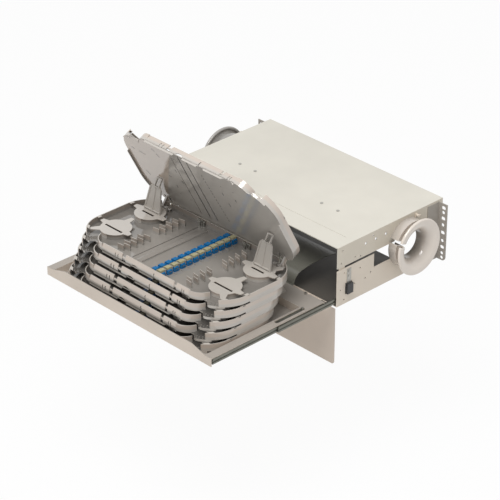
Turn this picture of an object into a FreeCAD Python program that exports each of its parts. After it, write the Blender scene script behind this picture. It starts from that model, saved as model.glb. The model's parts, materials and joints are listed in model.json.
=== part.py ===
import FreeCAD, Part
import math
import os
import Sketcher

# A sliding shelf for optical fibre in a rack: a low steel case, a drawer on two telescopic
# slides, six hinged plastic trays on the drawer, two bell-mouths at the sides and a flap
# that hangs below the front edge. Millimetres. X is to the right, Y to the back, Z up.
# The part's origin is the middle of the ears' bolt pattern, on the ears' front plane. The
# functions below place everything from the middle of the case's lower front edge instead,
# and node() moves each finished piece to the part's origin.

# Driving sizes
SIZES = {
    # case
    "case_width": 440,
    "case_depth": 268,
    "case_height": 117,
    "steel": 1.5,
    "floor_depth": 194,
    "base_wall_height": 71,
    "seam_width": 5,
    "window_front": 92,
    "window_rear": 226,
    "window_sill": 44,
    "screw_hole_radius": 1.6,
    "strap_width": 14,
    "strap_start": 6,
    "cover_groove_setback": 38,
    "cover_groove_margin": 19,
    "cover_rivet_setback": 97.5,
    "cover_rivet_radius": 3,
    "cover_rivet_inner": 85,
    "cover_rivet_outer": 125,
    "rivet_height": 0.8,
    # ears
    "ear_reach": 21.3,
    "ear_top": 113.5,
    "ear_drop": 1,
    "ear_setback": 256.5,
    "ear_bell_gap": 1.5,
    "ear_middle": 54.65,
    "ear_hole_reach": 12.55,
    "ear_hole_radius": 3.3,
    "ear_corner": 8,
    # bell-mouths
    "bell_ear_distance": 83.5,
    "bell_height": 66,
    "bell_throat_radius": 27,
    "bell_lip_radius": 53.5,
    "bell_reach": 34.5,
    "bell_wall": 2.5,
    "bell_rim_radius": 3,
    "drum_radius": 45,
    "drum_reach": 18,
    "slit_width": 8,
    "slit_angle": 23,
    "bell_opening_radius": 31,
    # latches
    "latch_setback": 29,
    "latch_spring_width": 10,
    "latch_spring_top": 67,
    "latch_spring_bottom": 39,
    "latch_spring_thickness": 0.8,
    "latch_block_width": 14,
    "latch_block_height": 19.6,
    "latch_block_reach": 5,
    "latch_clearance": 1.5,
    # wall hooks
    "hook_bell_distance": 25,
    "hook_top": 112,
    "hook_stem": 6.8,
    "hook_width": 4.5,
    "hook_reach": 9,
    # flap
    "flap_length": 114,
    "flap_side_gap": 2,
    "flap_barrel_radius": 2.2,
    "flap_rod_radius": 1.2,
    "flap_corner": 6,
    "knuckle_width": 22,
    "knuckle_inset": 14,
    "running_gap": 0.05,
    "working_gap": 0.3,
    # slides
    "slide_bottom": 6,
    "slide_height": 10.4,
    "drawer_rail_width": 16.5,
    "rail_wall": 1.5,
    "middle_rail_thickness": 2.6,
    "outer_rail_thickness": 1.3,
    "rail_tongue_height": 3,
    "rail_tongue_depth": 0.9,
    "rail_length": 262,
    "middle_rail_front": 138,
    # drawer
    "drawer_travel": 291,
    "drawer_length": 267,
    "pan_flange_reach": 15.5,
    "pan_bottom": 2.3,
    "pan_flange_top": 18,
    "pan_rear_wall": 41,
    "front_strip_height": 25.3,
    "front_strip_middle": 165,
    "front_strip_shoulder": 197,
    "front_strip_end_height": 16.2,
    "flange_slot_front": 133,
    "flange_slot_rear": 63,
    "flange_slot_width": 8.5,
    "pin_radius": 2.2,
    "pin_height": 4,
    # curved guide sheet
    "guide_half_width": 132,
    "guide_thickness": 1,
    "guide_height": 25,
    "guide_length": 112,
    # trays
    "tray_side_gap": 3.3,
    "tray_front": 180,
    "tray_rear": 8,
    "tray_height": 13.7,
    "tray_wall": 1.5,
    "tray_floor": 1.5,
    "tray_rear_corner": 60,
    "tray_front_corner": 45,
    "tray_bottom_height": 7.2,
    "tray_pitch": 17.14,
    "tray_step": 10.4,
    "tray_hinge_height": 3,
    "lowest_hinge_setback": 108.6,
    "raised_tray_angle": 62.5,
    "tray_entry_start": 163,
    "tray_front_wall_half": 130,
    "tray_curl_radius": 11,
    # tray hinges
    "tower_inset": 52.7,
    "lug_tower_distance": 12,
    "hinge_plate": 4,
    "hinge_boss_radius": 3.6,
    "hinge_boss_width": 5.5,
    "hinge_side_gap": 0.6,
    "hinge_slot_end": 9,
    "hinge_pin_radius": 1.5,
    "hinge_band": 4.5,
    "tower_rear": 45,
    # reels, fins and ribs in a tray
    "reel_radius": 30,
    "reel_stem_radius": 15,
    "reel_plate": 1.2,
    "reel_top": 10.4,
    "reel_slot": 5,
    "front_reel_inset": 50.2,
    "front_reel_advance": 125.5,
    "rear_reel_inset": 51.7,
    "rear_reel_advance": 40,
    "fin_count": 6,
    "fin_pitch": 7,
    "fin_width": 16,
    "fin_height": 6.5,
    "fin_thickness": 1.2,
    "fin_side": 80,
    "fin_advance": 32,
    "channel_side": 57,
    "channel_height": 5,
    # adapters
    "adapter_count": 12,
    "adapter_pitch": 15.3,
    "adapter_width": 12.8,
    "adapter_length": 38,
    "adapter_side": 12,
    "adapter_height": 12.2,
    "adapter_rear_gap": 0.6,
    "adapter_cap_length": 15,
    "adapter_cap_height": 1.6,
    # prop arms
    "arm_advance": 36.5,
    "arm_height": 11.4,
    "arm_length": 66,
    "arm_base_width": 36,
    "arm_tip_width": 23,
    "arm_thickness": 3.2,
    "arm_rib": 3.5,
    "arm_barrel_radius": 2,
    "arm_pin_radius": 1,
    "arm_bracket": 2.5,
}

# Hole centres in the steel: distance behind the front edge and height, or height from the
# middle of the ear
BASE_WALL_HOLES = [(18.1, 61.7), (9.3, 30.6), (44, 30.9), (57.5, 56.8), (70.8, 31), (84.4, 37.8), (18, 8.6)]
COVER_SIDE_HOLES = [(12.8, 107.4), (9.9, 83.4), (44.2, 83.7), (58, 80.2), (89, 108.5)]
COVER_LARGE_HOLES = [(70.4, 100), (95.6, 100), (120.8, 100)]
EAR_ROUND_HOLES = [41.05, 16.05, -15.75, -41.05, -50.15]
EAR_SLOTS = [50.45, 29.25, 0.65, -28.75]
LARGE_HOLE_RADIUS = 2.6
TRAY_COUNT = 6

doc = FreeCAD.newDocument("fibre_shelf")
sheet = doc.addObject("Spreadsheet::Sheet", "Sizes")
nodes = []


class Size:
    """A length or angle: its number now, and the sheet expression that gives it."""

    def __init__(self, value, text):
        self.value = float(value)
        self.text = text

    def __add__(self, other):
        other = as_size(other)
        return Size(self.value + other.value, f"({self.text} + {other.text})")

    def __sub__(self, other):
        other = as_size(other)
        return Size(self.value - other.value, f"({self.text} - {other.text})")

    def __mul__(self, other):
        other = as_size(other)
        return Size(self.value * other.value, f"({self.text} * {other.text})")

    def __truediv__(self, other):
        other = as_size(other)
        return Size(self.value / other.value, f"({self.text} / {other.text})")

    def __neg__(self):
        return Size(-self.value, f"(0 - {self.text})")

    def __radd__(self, other):
        return as_size(other) + self

    def __rsub__(self, other):
        return as_size(other) - self

    def __rmul__(self, other):
        return as_size(other) * self


def as_size(number):
    """A plain number as a Size."""
    return number if isinstance(number, Size) else Size(number, f"({float(number):.6g})")


def root(value):
    return Size(math.sqrt(value.value), f"sqrt({value.text})")


def sine(angle):
    return Size(math.sin(math.radians(angle.value)), f"sin({angle.text})")


def cosine(angle):
    return Size(math.cos(math.radians(angle.value)), f"cos({angle.text})")


def arc_sine(ratio):
    return Size(math.degrees(math.asin(ratio.value)), f"(asin({ratio.text}) / (1 deg))")


def fill_sheet():
    """One row per driving size: its name, and its value under an alias of the same name."""
    for row, (name, value) in enumerate(SIZES.items(), start=1):
        sheet.set(f"A{row}", name)
        sheet.set(f"B{row}", str(value))
        sheet.setAlias(f"B{row}", name)
    doc.recompute()


def size(name):
    return Size(SIZES[name], f"Sizes.{name}")


def bind(item, prop, value):
    item.setExpression(prop, as_size(value).text)


def put(item, x=0, y=0, z=0, angle=None):
    """Places an item, turned about the X axis by the angle, if there is one."""
    if angle is not None:
        item.Placement = FreeCAD.Placement(
            FreeCAD.Vector(0, 0, 0), FreeCAD.Rotation(FreeCAD.Vector(1, 0, 0), 10)
        )
        bind(item, "Placement.Rotation.Angle", angle)
    for axis, value in zip("xyz", (x, y, z)):
        bind(item, f"Placement.Base.{axis}", value)
    return item


def node(item, label):
    """Names a finished piece, and moves it from the case's front edge to the part's origin."""
    piece = doc.addObject("Part::Compound", "Piece")
    piece.Links = [item]
    put(piece, 0, -(size("ear_setback")), -size("ear_middle"))
    piece.Label = label
    nodes.append(piece)
    return piece


def box(x, y, z):
    """A block between the two limits given along each axis."""
    item = doc.addObject("Part::Box", "Block")
    for prop, limits in zip(("Length", "Width", "Height"), (x, y, z)):
        bind(item, prop, as_size(limits[1]) - limits[0])
    return put(item, x[0], y[0], z[0])


def rod(axis, centre, radius, span):
    """A round bar along X, Y or Z: its centre in the other two axes, and its two ends."""
    item = doc.addObject("Part::Cylinder", "Round")
    bind(item, "Radius", radius)
    bind(item, "Height", as_size(span[1]) - span[0])
    turn = {
        "x": FreeCAD.Rotation(FreeCAD.Vector(0, 1, 0), 90),
        "y": FreeCAD.Rotation(FreeCAD.Vector(1, 0, 0), -90),
        "z": FreeCAD.Rotation(),
    }[axis]
    item.Placement = FreeCAD.Placement(FreeCAD.Vector(0, 0, 0), turn)
    place = list(centre)
    place.insert("xyz".index(axis), span[0])
    for letter, value in zip("xyz", place):
        bind(item, f"Placement.Base.{letter}", value)
    return item


def fuse(*items):
    if len(items) == 1:
        return items[0]
    item = doc.addObject("Part::MultiFuse", "Joined")
    item.Shapes = list(items)
    item.Refine = True
    return item


def cut(base, *tools):
    item = doc.addObject("Part::Cut", "Cut")
    item.Base = base
    item.Tool = fuse(*tools)
    return item


def common(first, second):
    item = doc.addObject("Part::Common", "Overlap")
    item.Base = first
    item.Tool = second
    return item


def group(*items):
    """Several solids as one piece of the list, each still a solid of its own."""
    item = doc.addObject("Part::Compound", "Group")
    item.Links = list(items)
    return item


def mirrored(item):
    """The same piece on the other side of the middle plane."""
    copy = doc.addObject("Part::Mirroring", "Mirrored")
    copy.Source = item
    copy.Normal = FreeCAD.Vector(1, 0, 0)
    copy.Base = FreeCAD.Vector(0, 0, 0)
    return copy


def both_sides(item):
    return [item, mirrored(item)]


def pair(item, name):
    """The right-hand and the left-hand node of a piece."""
    node(item, f"{name}_right")
    node(mirrored(item), f"{name}_left")


def plate(name, plane, outline, thickness, holes=()):
    """A flat plate: a closed outline of straight edges and round holes, drawn on one plane."""
    body = doc.addObject("PartDesign::Body", name)
    sketch = body.newObject("Sketcher::SketchObject", f"{name}_outline")
    support = [f for f in body.Origin.OriginFeatures if f.Role == plane][0]
    sketch.AttachmentSupport = [(support, "")]
    sketch.MapMode = "FlatFace"
    corners = [(as_size(a), as_size(b)) for a, b in outline]
    points = [FreeCAD.Vector(a.value, b.value, 0) for a, b in corners]
    for start, end in zip(points, points[1:] + points[:1]):
        sketch.addGeometry(Part.LineSegment(start, end), False)
    for edge in range(len(points)):
        following = (edge + 1) % len(points)
        sketch.addConstraint(Sketcher.Constraint("Coincident", edge, 2, following, 1))
    for edge, corner in enumerate(corners):
        pin_point(sketch, edge, 1, corner)
    for across, up, radius in holes:
        centre = (as_size(across), as_size(up))
        middle = FreeCAD.Vector(centre[0].value, centre[1].value, 0)
        circle = Part.Circle(middle, FreeCAD.Vector(0, 0, 1), as_size(radius).value)
        ring = sketch.addGeometry(circle, False)
        dimension = sketch.addConstraint(Sketcher.Constraint("Radius", ring, as_size(radius).value))
        bind(sketch, f"Constraints[{dimension}]", radius)
        pin_point(sketch, ring, 3, centre)
    pad = body.newObject("PartDesign::Pad", f"{name}_pad")
    pad.Profile = sketch
    bind(pad, "Length", thickness)
    sketch.Visibility = False
    return body


def pin_point(sketch, element, point, place):
    """Holds one point of a sketch at its place, by two dimensions bound to the sheet."""
    for kind, value in zip(("DistanceX", "DistanceY"), place):
        constraint = Sketcher.Constraint(kind, -1, 1, element, point, value.value)
        dimension = sketch.addConstraint(constraint)
        bind(sketch, f"Constraints[{dimension}]", value)


def round_corners(body, radius, wanted):
    """Rounds the edges of a plate whose middle point is wanted."""
    doc.recompute()
    flat = body.Tip
    edges = flat.Shape.Edges
    names = [f"Edge{i}" for i, edge in enumerate(edges, start=1) if wanted(edge.CenterOfMass)]
    rounding = body.newObject("PartDesign::Fillet", f"{body.Name}_rounding")
    rounding.Base = (flat, names)
    bind(rounding, "Radius", radius)
    return body


def solid(shape, name):
    """A piece whose form neither a sketch nor a primitive gives."""
    item = doc.addObject("Part::Feature", name)
    item.Shape = shape
    return item


fill_sheet()

steel = size("steel")
case_half = size("case_width") / 2
wall_inner = case_half - steel
gap = size("working_gap")
bell_y = size("ear_setback") - size("bell_ear_distance")
bell_z = size("bell_height")
outer_rail_start = wall_inner - size("outer_rail_thickness")
middle_rail_start = outer_rail_start - gap - size("middle_rail_thickness")
pan_half = middle_rail_start - gap - size("drawer_rail_width")
drawer_half = pan_half + size("pan_flange_reach")
tray_half = pan_half - steel - size("tray_side_gap")
tower_middle = tray_half - size("tower_inset")
lug_middle = tower_middle + size("lug_tower_distance")
front_reel_side = tray_half - size("front_reel_inset")
rear_reel_side = tray_half - size("rear_reel_inset")


def bell_opening():
    """The round hole behind a bell-mouth, through wall and cover flange."""
    return rod("x", (bell_y, bell_z), size("bell_opening_radius"), (wall_inner - 1, case_half + 1))


def make_base_shell():
    low = size("base_wall_height")
    sill = size("window_sill")
    front, rear = size("window_front"), size("window_rear")
    depth = size("case_depth")
    outline = [(0, 0), (depth, 0), (depth, low), (rear, low)]
    outline += [(rear, sill), (front, sill), (front, low), (0, low)]
    holes = [(y, z, size("screw_hole_radius")) for y, z in BASE_WALL_HOLES]
    wall = plate("base_wall", "YZ_Plane", outline, steel, holes)
    put(wall, wall_inner, 0, 0)
    half_latch = size("latch_block_width") / 2 + size("latch_clearance")
    latch_y = size("latch_setback")
    latch_top = size("latch_spring_bottom") + size("latch_clearance")
    latch_low = size("latch_spring_bottom") - size("latch_block_height") - size("latch_clearance")
    latch_window = box(
        (wall_inner - 1, case_half + 1),
        (latch_y - half_latch, latch_y + half_latch),
        (latch_low, latch_top),
    )
    wall = cut(wall, bell_opening(), latch_window)
    start = size("strap_start")
    strap = box(
        (wall_inner - steel, wall_inner),
        (start, start + size("strap_width")),
        (low - size("strap_width"), size("case_height") - steel * 2),
    )
    floor = box((-case_half, case_half), (0, size("floor_depth")), (0, steel))
    parts = [floor] + both_sides(wall) + both_sides(strap)
    shell = cut(fuse(*parts, *knuckles(False)), rod_bore())
    node(shell, "base_shell")


def hinge_place():
    """Y and Z of the flap's axis, just below the floor's front edge."""
    return (as_size(0), -(size("flap_barrel_radius") + gap))


def knuckle_spans():
    """The three stretches of the flap's axis that belong to the case."""
    width = size("knuckle_width")
    outer = case_half - size("knuckle_inset")
    return [(-outer, width - outer), (-width / 2, width / 2), (outer - width, outer)]


def knuckles(bored):
    """The case's hinge knuckles, each on a short tab under the floor."""
    y, z = hinge_place()
    radius = size("flap_barrel_radius")
    items = []
    for span in knuckle_spans():
        items.append(rod("x", (y, z), radius, span))
        items.append(box(span, (0, radius), (z, steel / 2)))
    return items


def rod_bore():
    reach = case_half - size("knuckle_inset") + 1
    return rod("x", hinge_place(), size("flap_rod_radius"), (-reach, reach))


def make_flap():
    y, z = hinge_place()
    radius = size("flap_barrel_radius")
    half = case_half - size("flap_side_gap")
    bottom = z - size("flap_length")
    outline = [(-half, bottom), (half, bottom), (half, z), (-half, z)]
    sheet_body = plate("flap_sheet", "XZ_Plane", outline, steel)
    lowest = bottom.value
    round_corners(sheet_body, size("flap_corner"), lambda point: abs(point.z - lowest) < 0.01
                  and abs(abs(point.x) - half.value) < 0.01)
    put(sheet_body, 0, y - radius + steel, 0)
    spans = knuckle_spans()
    barrels = []
    notches = []
    for left, right in zip(spans, spans[1:]):
        barrels.append(rod("x", (y, z), radius, (left[1] + gap, right[0] - gap)))
    for span in spans:
        clear = (span[0] - gap, span[1] + gap)
        notches.append(box(clear, (y - radius - 1, y + radius), (z - radius - gap * 2, z + radius)))
    reach = case_half
    bore = rod("x", (y, z), size("flap_rod_radius") + size("running_gap"), (-reach, reach))
    flap = cut(fuse(sheet_body, *barrels), bore, *notches)
    node(flap, "flap")
    limit = case_half - size("knuckle_inset")
    node(rod("x", (y, z), size("flap_rod_radius"), (-limit, limit)), "flap_hinge_rod")


def make_cover():
    top = size("case_height")
    low = size("base_wall_height") + size("seam_width")
    depth = size("case_depth")
    outline = [(0, low), (depth, low), (depth, top), (0, top)]
    holes = [(y, z, size("screw_hole_radius")) for y, z in COVER_SIDE_HOLES]
    holes += [(y, z, LARGE_HOLE_RADIUS) for y, z in COVER_LARGE_HOLES]
    flange = plate("cover_flange", "YZ_Plane", outline, steel, holes)
    put(flange, wall_inner, 0, 0)
    flange = cut(flange, bell_opening())
    roof = box((-case_half, case_half), (0, depth), (top - steel, top))
    half = case_half - size("cover_groove_margin")
    setback = size("cover_groove_setback")
    groove = box((-half, half), (setback, setback + steel), (top - steel / 3, top + 1))
    node(cut(fuse(roof, *both_sides(flange)), groove), "top_cover")
    setback = size("cover_rivet_setback")
    radius = size("cover_rivet_radius")
    span = (top, top + size("rivet_height"))
    heads = []
    for side in (size("cover_rivet_inner"), size("cover_rivet_outer")):
        heads += both_sides(rod("z", (side, setback), radius, span))
    node(group(*heads), "cover_rivets")


def slot_tool(x, z, radius, half_length, span):
    """A round-ended slot along X, through a plate that faces front."""
    ends = [rod("y", (x + shift, z), radius, span) for shift in (half_length, -half_length)]
    return [*ends, box((x - half_length, x + half_length), span, (z - radius, z + radius))]


def make_ears():
    back = size("ear_setback")
    reach = case_half + size("ear_reach")
    top = size("ear_top")
    outline = [(case_half, -size("ear_drop")), (reach, -size("ear_drop")), (reach, top), (case_half, top)]
    face = plate("ear_face", "XZ_Plane", outline, steel)
    round_corners(face, size("ear_corner"), lambda point: abs(point.x - reach.value) < 0.01
                  and abs(point.z) < 2)
    put(face, 0, back + steel, 0)
    flange = box(
        (case_half, case_half + steel),
        (bell_y + size("bell_lip_radius") + size("ear_bell_gap"), back + steel),
        (-size("ear_drop"), top),
    )
    hole_x = case_half + size("ear_hole_reach")
    radius = size("ear_hole_radius")
    span = (back - 1, back + steel + 1)
    middle = size("ear_middle")
    tools = [rod("y", (hole_x, middle + z), radius, span) for z in EAR_ROUND_HOLES]
    for z in EAR_SLOTS:
        tools += slot_tool(hole_x, middle + z, radius, radius / 2, span)
    pair(cut(fuse(face, flange), *tools), "ear")


def trumpet():
    """The flared tube: a quarter-round flare from the throat out to the rim, turned about X."""
    throat = SIZES["bell_throat_radius"]
    wall = SIZES["bell_wall"]
    rim = SIZES["bell_rim_radius"]
    start = SIZES["case_width"] / 2
    lip = start + SIZES["bell_reach"]
    crest = SIZES["bell_lip_radius"] - rim
    flare = crest - throat
    bend = lip - flare
    half = math.sqrt(0.5)

    def at(x, radius):
        return FreeCAD.Vector(x, 0, radius)

    inner = Part.Arc(
        at(bend, throat), at(bend + flare * half, crest - flare * half), at(lip, crest)
    )
    small = flare - wall
    outer = Part.Arc(
        at(lip - wall, crest), at(bend + small * half, crest - small * half), at(bend, throat + wall)
    )
    edges = [
        Part.LineSegment(at(start, throat), at(bend, throat)),
        inner,
        Part.LineSegment(at(lip, crest), at(lip - wall, crest)),
        outer,
        Part.LineSegment(at(bend, throat + wall), at(start, throat + wall)),
        Part.LineSegment(at(start, throat + wall), at(start, throat)),
    ]
    wire = Part.Wire([edge.toShape() for edge in edges])
    turned = Part.Face(wire).revolve(FreeCAD.Vector(0, 0, 0), FreeCAD.Vector(1, 0, 0), 360)
    item = solid(turned, "bell_trumpet")
    return put(item, 0, bell_y, bell_z)


def make_bell_mouths():
    wall = size("bell_wall")
    lip = case_half + size("bell_reach")
    rim = size("bell_rim_radius")
    ring = doc.addObject("Part::Torus", "bell_rim")
    bind(ring, "Radius1", size("bell_lip_radius") - rim)
    bind(ring, "Radius2", rim)
    ring.Placement = FreeCAD.Placement(
        FreeCAD.Vector(0, 0, 0), FreeCAD.Rotation(FreeCAD.Vector(0, 1, 0), 90)
    )
    for letter, value in zip("xyz", (lip - rim, bell_y, bell_z)):
        bind(ring, f"Placement.Base.{letter}", value)
    centre = (bell_y, bell_z)
    drum_end = case_half + size("drum_reach")
    drum = cut(
        rod("x", centre, size("drum_radius"), (case_half, drum_end)),
        rod("x", centre, size("drum_radius") - wall, (case_half - 1, drum_end - wall)),
    )
    drum = cut(drum, rod("x", centre, size("bell_throat_radius") + wall / 2, (case_half, drum_end + 1)))
    slit = doc.addObject("Part::Box", "bell_slit")
    bind(slit, "Length", size("bell_reach") + 2)
    bind(slit, "Width", size("bell_lip_radius") + 5)
    bind(slit, "Height", size("slit_width"))
    angle = 180 - size("slit_angle")
    half_slit = size("slit_width") / 2
    put(
        slit,
        case_half - 1,
        bell_y + half_slit * sine(angle),
        bell_z - half_slit * cosine(angle),
        angle,
    )
    pair(cut(fuse(trumpet(), drum, ring), slit), "bell_mouth")


def make_latches():
    setback = size("latch_setback")
    half = size("latch_spring_width") / 2
    low, high = size("latch_spring_bottom"), size("latch_spring_top")
    face = case_half + size("latch_spring_thickness")
    strip = box((case_half, face), (setback - half, setback + half), (low, high))
    rivets = []
    for height in (high - half, low + (high - low) / 2):
        rivets.append(rod("x", (setback, height), half / 2, (case_half, face + size("rivet_height"))))
    pair(fuse(strip, *rivets), "latch_spring")
    half = size("latch_block_width") / 2
    top = low - gap
    block = box(
        (case_half - size("latch_spring_thickness"), case_half + size("latch_block_reach")),
        (setback - half, setback + half),
        (top - size("latch_block_height"), top),
    )
    pair(block, "latch_button")


def make_wall_hooks():
    setback = bell_y + size("hook_bell_distance")
    half = size("hook_width") / 2
    top = size("hook_top")
    span = (setback - half, setback + half)
    reach = case_half + size("hook_reach")
    stem = box((case_half, case_half + steel), span, (top - size("hook_stem"), top))
    arm = box((case_half, reach), span, (top - steel * 2, top - steel))
    tip = box((reach - steel, reach), span, (top - steel * 2, top))
    pair(fuse(stem, arm, tip), "wall_hook")


def rail_heights():
    low = size("slide_bottom")
    return (low, low + size("slide_height"))


def tongue_heights(clearance):
    """The limits of the rails' tongue, or of its groove with the clearance added."""
    middle = size("slide_bottom") + size("slide_height") / 2
    half = size("rail_tongue_height") / 2 + clearance
    return (middle - half, middle + half)


def make_rails():
    """Three members on each side; a tongue on one runs in a groove of the next."""
    face = pan_half + size("drawer_rail_width")
    depth = size("rail_tongue_depth")
    wall = size("rail_wall")
    low, high = rail_heights()
    front = -(size("drawer_travel") - size("steel") * 2)
    rear = front + size("rail_length")
    drawer_span = (front, rear)
    channel = cut(
        box((pan_half, face), drawer_span, (low, high)),
        box((pan_half - 1, face - wall - depth), (front - 1, rear + 1), (low + wall, high - wall)),
        box((face - depth - gap, face + 1), (front - 1, rear + 1), tongue_heights(gap)),
    )
    pair(channel, "drawer_rail")
    start = face + gap
    end = outer_rail_start - gap
    front = -size("middle_rail_front")
    rear = front + size("rail_length")
    bar = fuse(
        box((start, end), (front, rear), (low, high)),
        box((start - depth, start), (front, rear), tongue_heights(0)),
    )
    groove = box((end - depth - gap, end + 1), (front - 1, rear + 1), tongue_heights(gap))
    pair(cut(bar, groove), "middle_rail")
    outer = fuse(
        box((outer_rail_start, wall_inner), (steel, steel + size("rail_length")), (low, high)),
        box((end - depth + gap, end + gap), (steel, steel + size("rail_length")), tongue_heights(0)),
    )
    pair(outer, "outer_rail")


def drawer_front():
    return -size("drawer_travel")


def drawer_rear():
    return drawer_front() + size("drawer_length")


def make_drawer():
    front, rear = drawer_front(), drawer_rear()
    bottom = size("pan_bottom")
    top = size("pan_flange_top")
    inner = pan_half - steel
    outer = pan_half
    wide = drawer_half
    wall_y = rear - size("pan_rear_wall")
    floor = box((-outer, outer), (front, wall_y), (bottom, bottom + steel))
    side = box((inner, outer), (front, rear), (bottom, top))
    flange = box((inner, wide), (front, rear), (top - steel, top))
    back = box((-outer, outer), (wall_y - steel, wall_y), (bottom, top))
    shelf = box((-wide, wide), (wall_y - steel, rear), (top - steel, top))
    middle, shoulder = size("front_strip_middle"), size("front_strip_shoulder")
    high, low = bottom + size("front_strip_height"), bottom + size("front_strip_end_height")
    outline = [(-wide, bottom), (wide, bottom), (wide, low), (shoulder, low), (middle, high)]
    outline += [(-middle, high), (-shoulder, low), (-wide, low)]
    strip = put(plate("front_strip", "XZ_Plane", outline, steel), 0, front + steel, 0)
    slot_x = outer + steel + size("flange_slot_width") / 2
    half = size("flange_slot_width") / 2
    slot_front, slot_rear = -size("flange_slot_front") + half, -size("flange_slot_rear") - half
    through = (top - steel - 1, top + 1)
    slot = [rod("z", (slot_x, y), half, through) for y in (slot_front, slot_rear)]
    slot.append(box((slot_x - half, slot_x + half), (slot_front, slot_rear), through))
    slots = slot + [mirrored(piece) for piece in slot]
    axis_y = tray_axis(1)[0]
    relief_half = tray_half - size("tray_rear_corner") / 2
    relief = box(
        (-relief_half, relief_half),
        (axis_y - steel, axis_y + size("tray_rear") + steel),
        (bottom - 1, bottom + steel + 1),
    )
    pan = fuse(floor, strip, back, shelf, *both_sides(side), *both_sides(flange))
    pan = cut(pan, relief, *slots)
    node(pan, "drawer_pan")
    rail_top = rail_heights()[1]
    pin = rod("z", (slot_x, slot_rear), size("pin_radius"), (rail_top, rail_top + size("pin_height")))
    stud_x = drawer_half - size("pan_rear_wall")
    stud = rod("z", (stud_x, rear - half), size("pin_radius"), (top, top + size("pin_height")))
    node(group(*both_sides(pin), *both_sides(stud)), "drawer_pins")


def make_guide_sheet():
    """A thin sheet that rises behind the drawer's rear plate and curves back over the fibres."""
    start = -SIZES["drawer_travel"] + SIZES["drawer_length"]
    low = SIZES["pan_flange_top"] - SIZES["steel"]
    thickness = SIZES["guide_thickness"]
    height = SIZES["guide_height"]
    length = SIZES["guide_length"]
    half = SIZES["guide_half_width"]

    def at(y, z):
        return FreeCAD.Vector(-half, y, z)

    def profile(lift):
        base = low - thickness + lift
        knee = start + length * 0.06 - lift
        bend = at(knee + length * 0.04, base + height * 0.42)
        shoulder = at(start + length * 0.28, base + height * 0.86)
        crest = at(start + length * 0.62, base + height)
        tail = at(start + length, base + height * 0.86)
        return [
            Part.LineSegment(at(start - length * 0.1, base), at(knee, base)),
            Part.Arc(at(knee, base), bend, shoulder),
            Part.Arc(shoulder, crest, tail),
        ]

    lower = [edge.toShape() for edge in profile(0)]
    upper = [edge.toShape() for edge in profile(thickness)]
    sides = [
        Part.LineSegment(lower[0].Vertexes[0].Point, upper[0].Vertexes[0].Point).toShape(),
        Part.LineSegment(lower[-1].Vertexes[-1].Point, upper[-1].Vertexes[-1].Point).toShape(),
    ]
    wire = Part.Wire(Part.__sortEdges__(lower + upper + sides))
    item = solid(Part.Face(wire).extrude(FreeCAD.Vector(2 * half, 0, 0)), "guide")
    node(item, "guide_sheet")


def tray_axis(number):
    """Y and Z of a tray's hinge axis; the lowest tray is number one."""
    steps = number - 1
    back = -size("lowest_hinge_setback") + size("tray_step") * steps
    height = size("tray_bottom_height") + size("tray_hinge_height") + size("tray_pitch") * steps
    return (back, height)


def band_outline(points, half, tail):
    """Four corners of a slanting band along the line of two axes, with a longer lower end."""
    (y1, z1), (y2, z2) = points
    run, rise = y2 - y1, z2 - z1
    length = root(run * run + rise * rise)
    along = (run / length, rise / length)
    across = (-(rise / length), run / length)
    lower = (y1 - along[0] * tail, z1 - along[1] * tail)
    upper = (y2 + along[0] * half, z2 + along[1] * half)
    return [
        (lower[0] + across[0] * half, lower[1] + across[1] * half),
        (lower[0] - across[0] * half, lower[1] - across[1] * half),
        (upper[0] - across[0] * half, upper[1] - across[1] * half),
        (upper[0] + across[0] * half, upper[1] + across[1] * half),
    ]


def make_hinge_towers():
    """A leaning plate on each side that carries the pins of the five lower trays."""
    middle = tower_middle
    half = size("hinge_plate") / 2
    low_axis, high_axis = tray_axis(1), tray_axis(TRAY_COUNT - 1)
    floor = size("pan_bottom") + steel
    rear = -size("tower_rear")
    shelf = size("pan_flange_top")
    wall = drawer_rear() - size("pan_rear_wall")
    front_edge = band_outline((low_axis, high_axis), size("hinge_band"), low_axis[1])
    top = front_edge[3]
    slope = (top[0] - front_edge[0][0]) / (top[1] - front_edge[0][1])
    foot = (top[0] - slope * (top[1] - floor), floor)
    elbow = band_outline((low_axis, tray_axis(TRAY_COUNT - 2)), size("hinge_band"), low_axis[1])[2]
    outline = [foot, (wall - steel, floor), (wall - steel, shelf), (rear, shelf)]
    outline += [elbow, front_edge[2], top]
    web = put(plate("tower_web", "YZ_Plane", outline, half * 2), middle - half, 0, 0)
    reach = size("hinge_boss_width") + size("hinge_side_gap")
    span = (middle - half - reach, middle + half + reach)
    pins = [
        rod("x", tray_axis(number), size("hinge_pin_radius"), span)
        for number in range(1, TRAY_COUNT)
    ]
    pair(fuse(web, *pins), "hinge_tower")


def rounded_block(margin, low, high):
    """The tray's outline as a block, moved inwards by the margin: large rear, smaller front corners."""
    half = tray_half - margin
    rear = size("tray_rear") - margin
    front = -(size("tray_front") - margin)
    rear_radius = size("tray_rear_corner") - margin
    front_radius = size("tray_front_corner") - margin
    height = (low, high)
    pieces = [
        box((-half, half), (front + front_radius, rear - rear_radius), height),
        box((rear_radius - half, half - rear_radius), (rear - rear_radius, rear), height),
        box((front_radius - half, half - front_radius), (front, front + front_radius), height),
    ]
    corner = rod("z", (half - rear_radius, rear - rear_radius), rear_radius, height)
    pieces += both_sides(corner)
    corner = rod("z", (half - front_radius, front + front_radius), front_radius, height)
    pieces += both_sides(corner)
    return fuse(*pieces)


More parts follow.
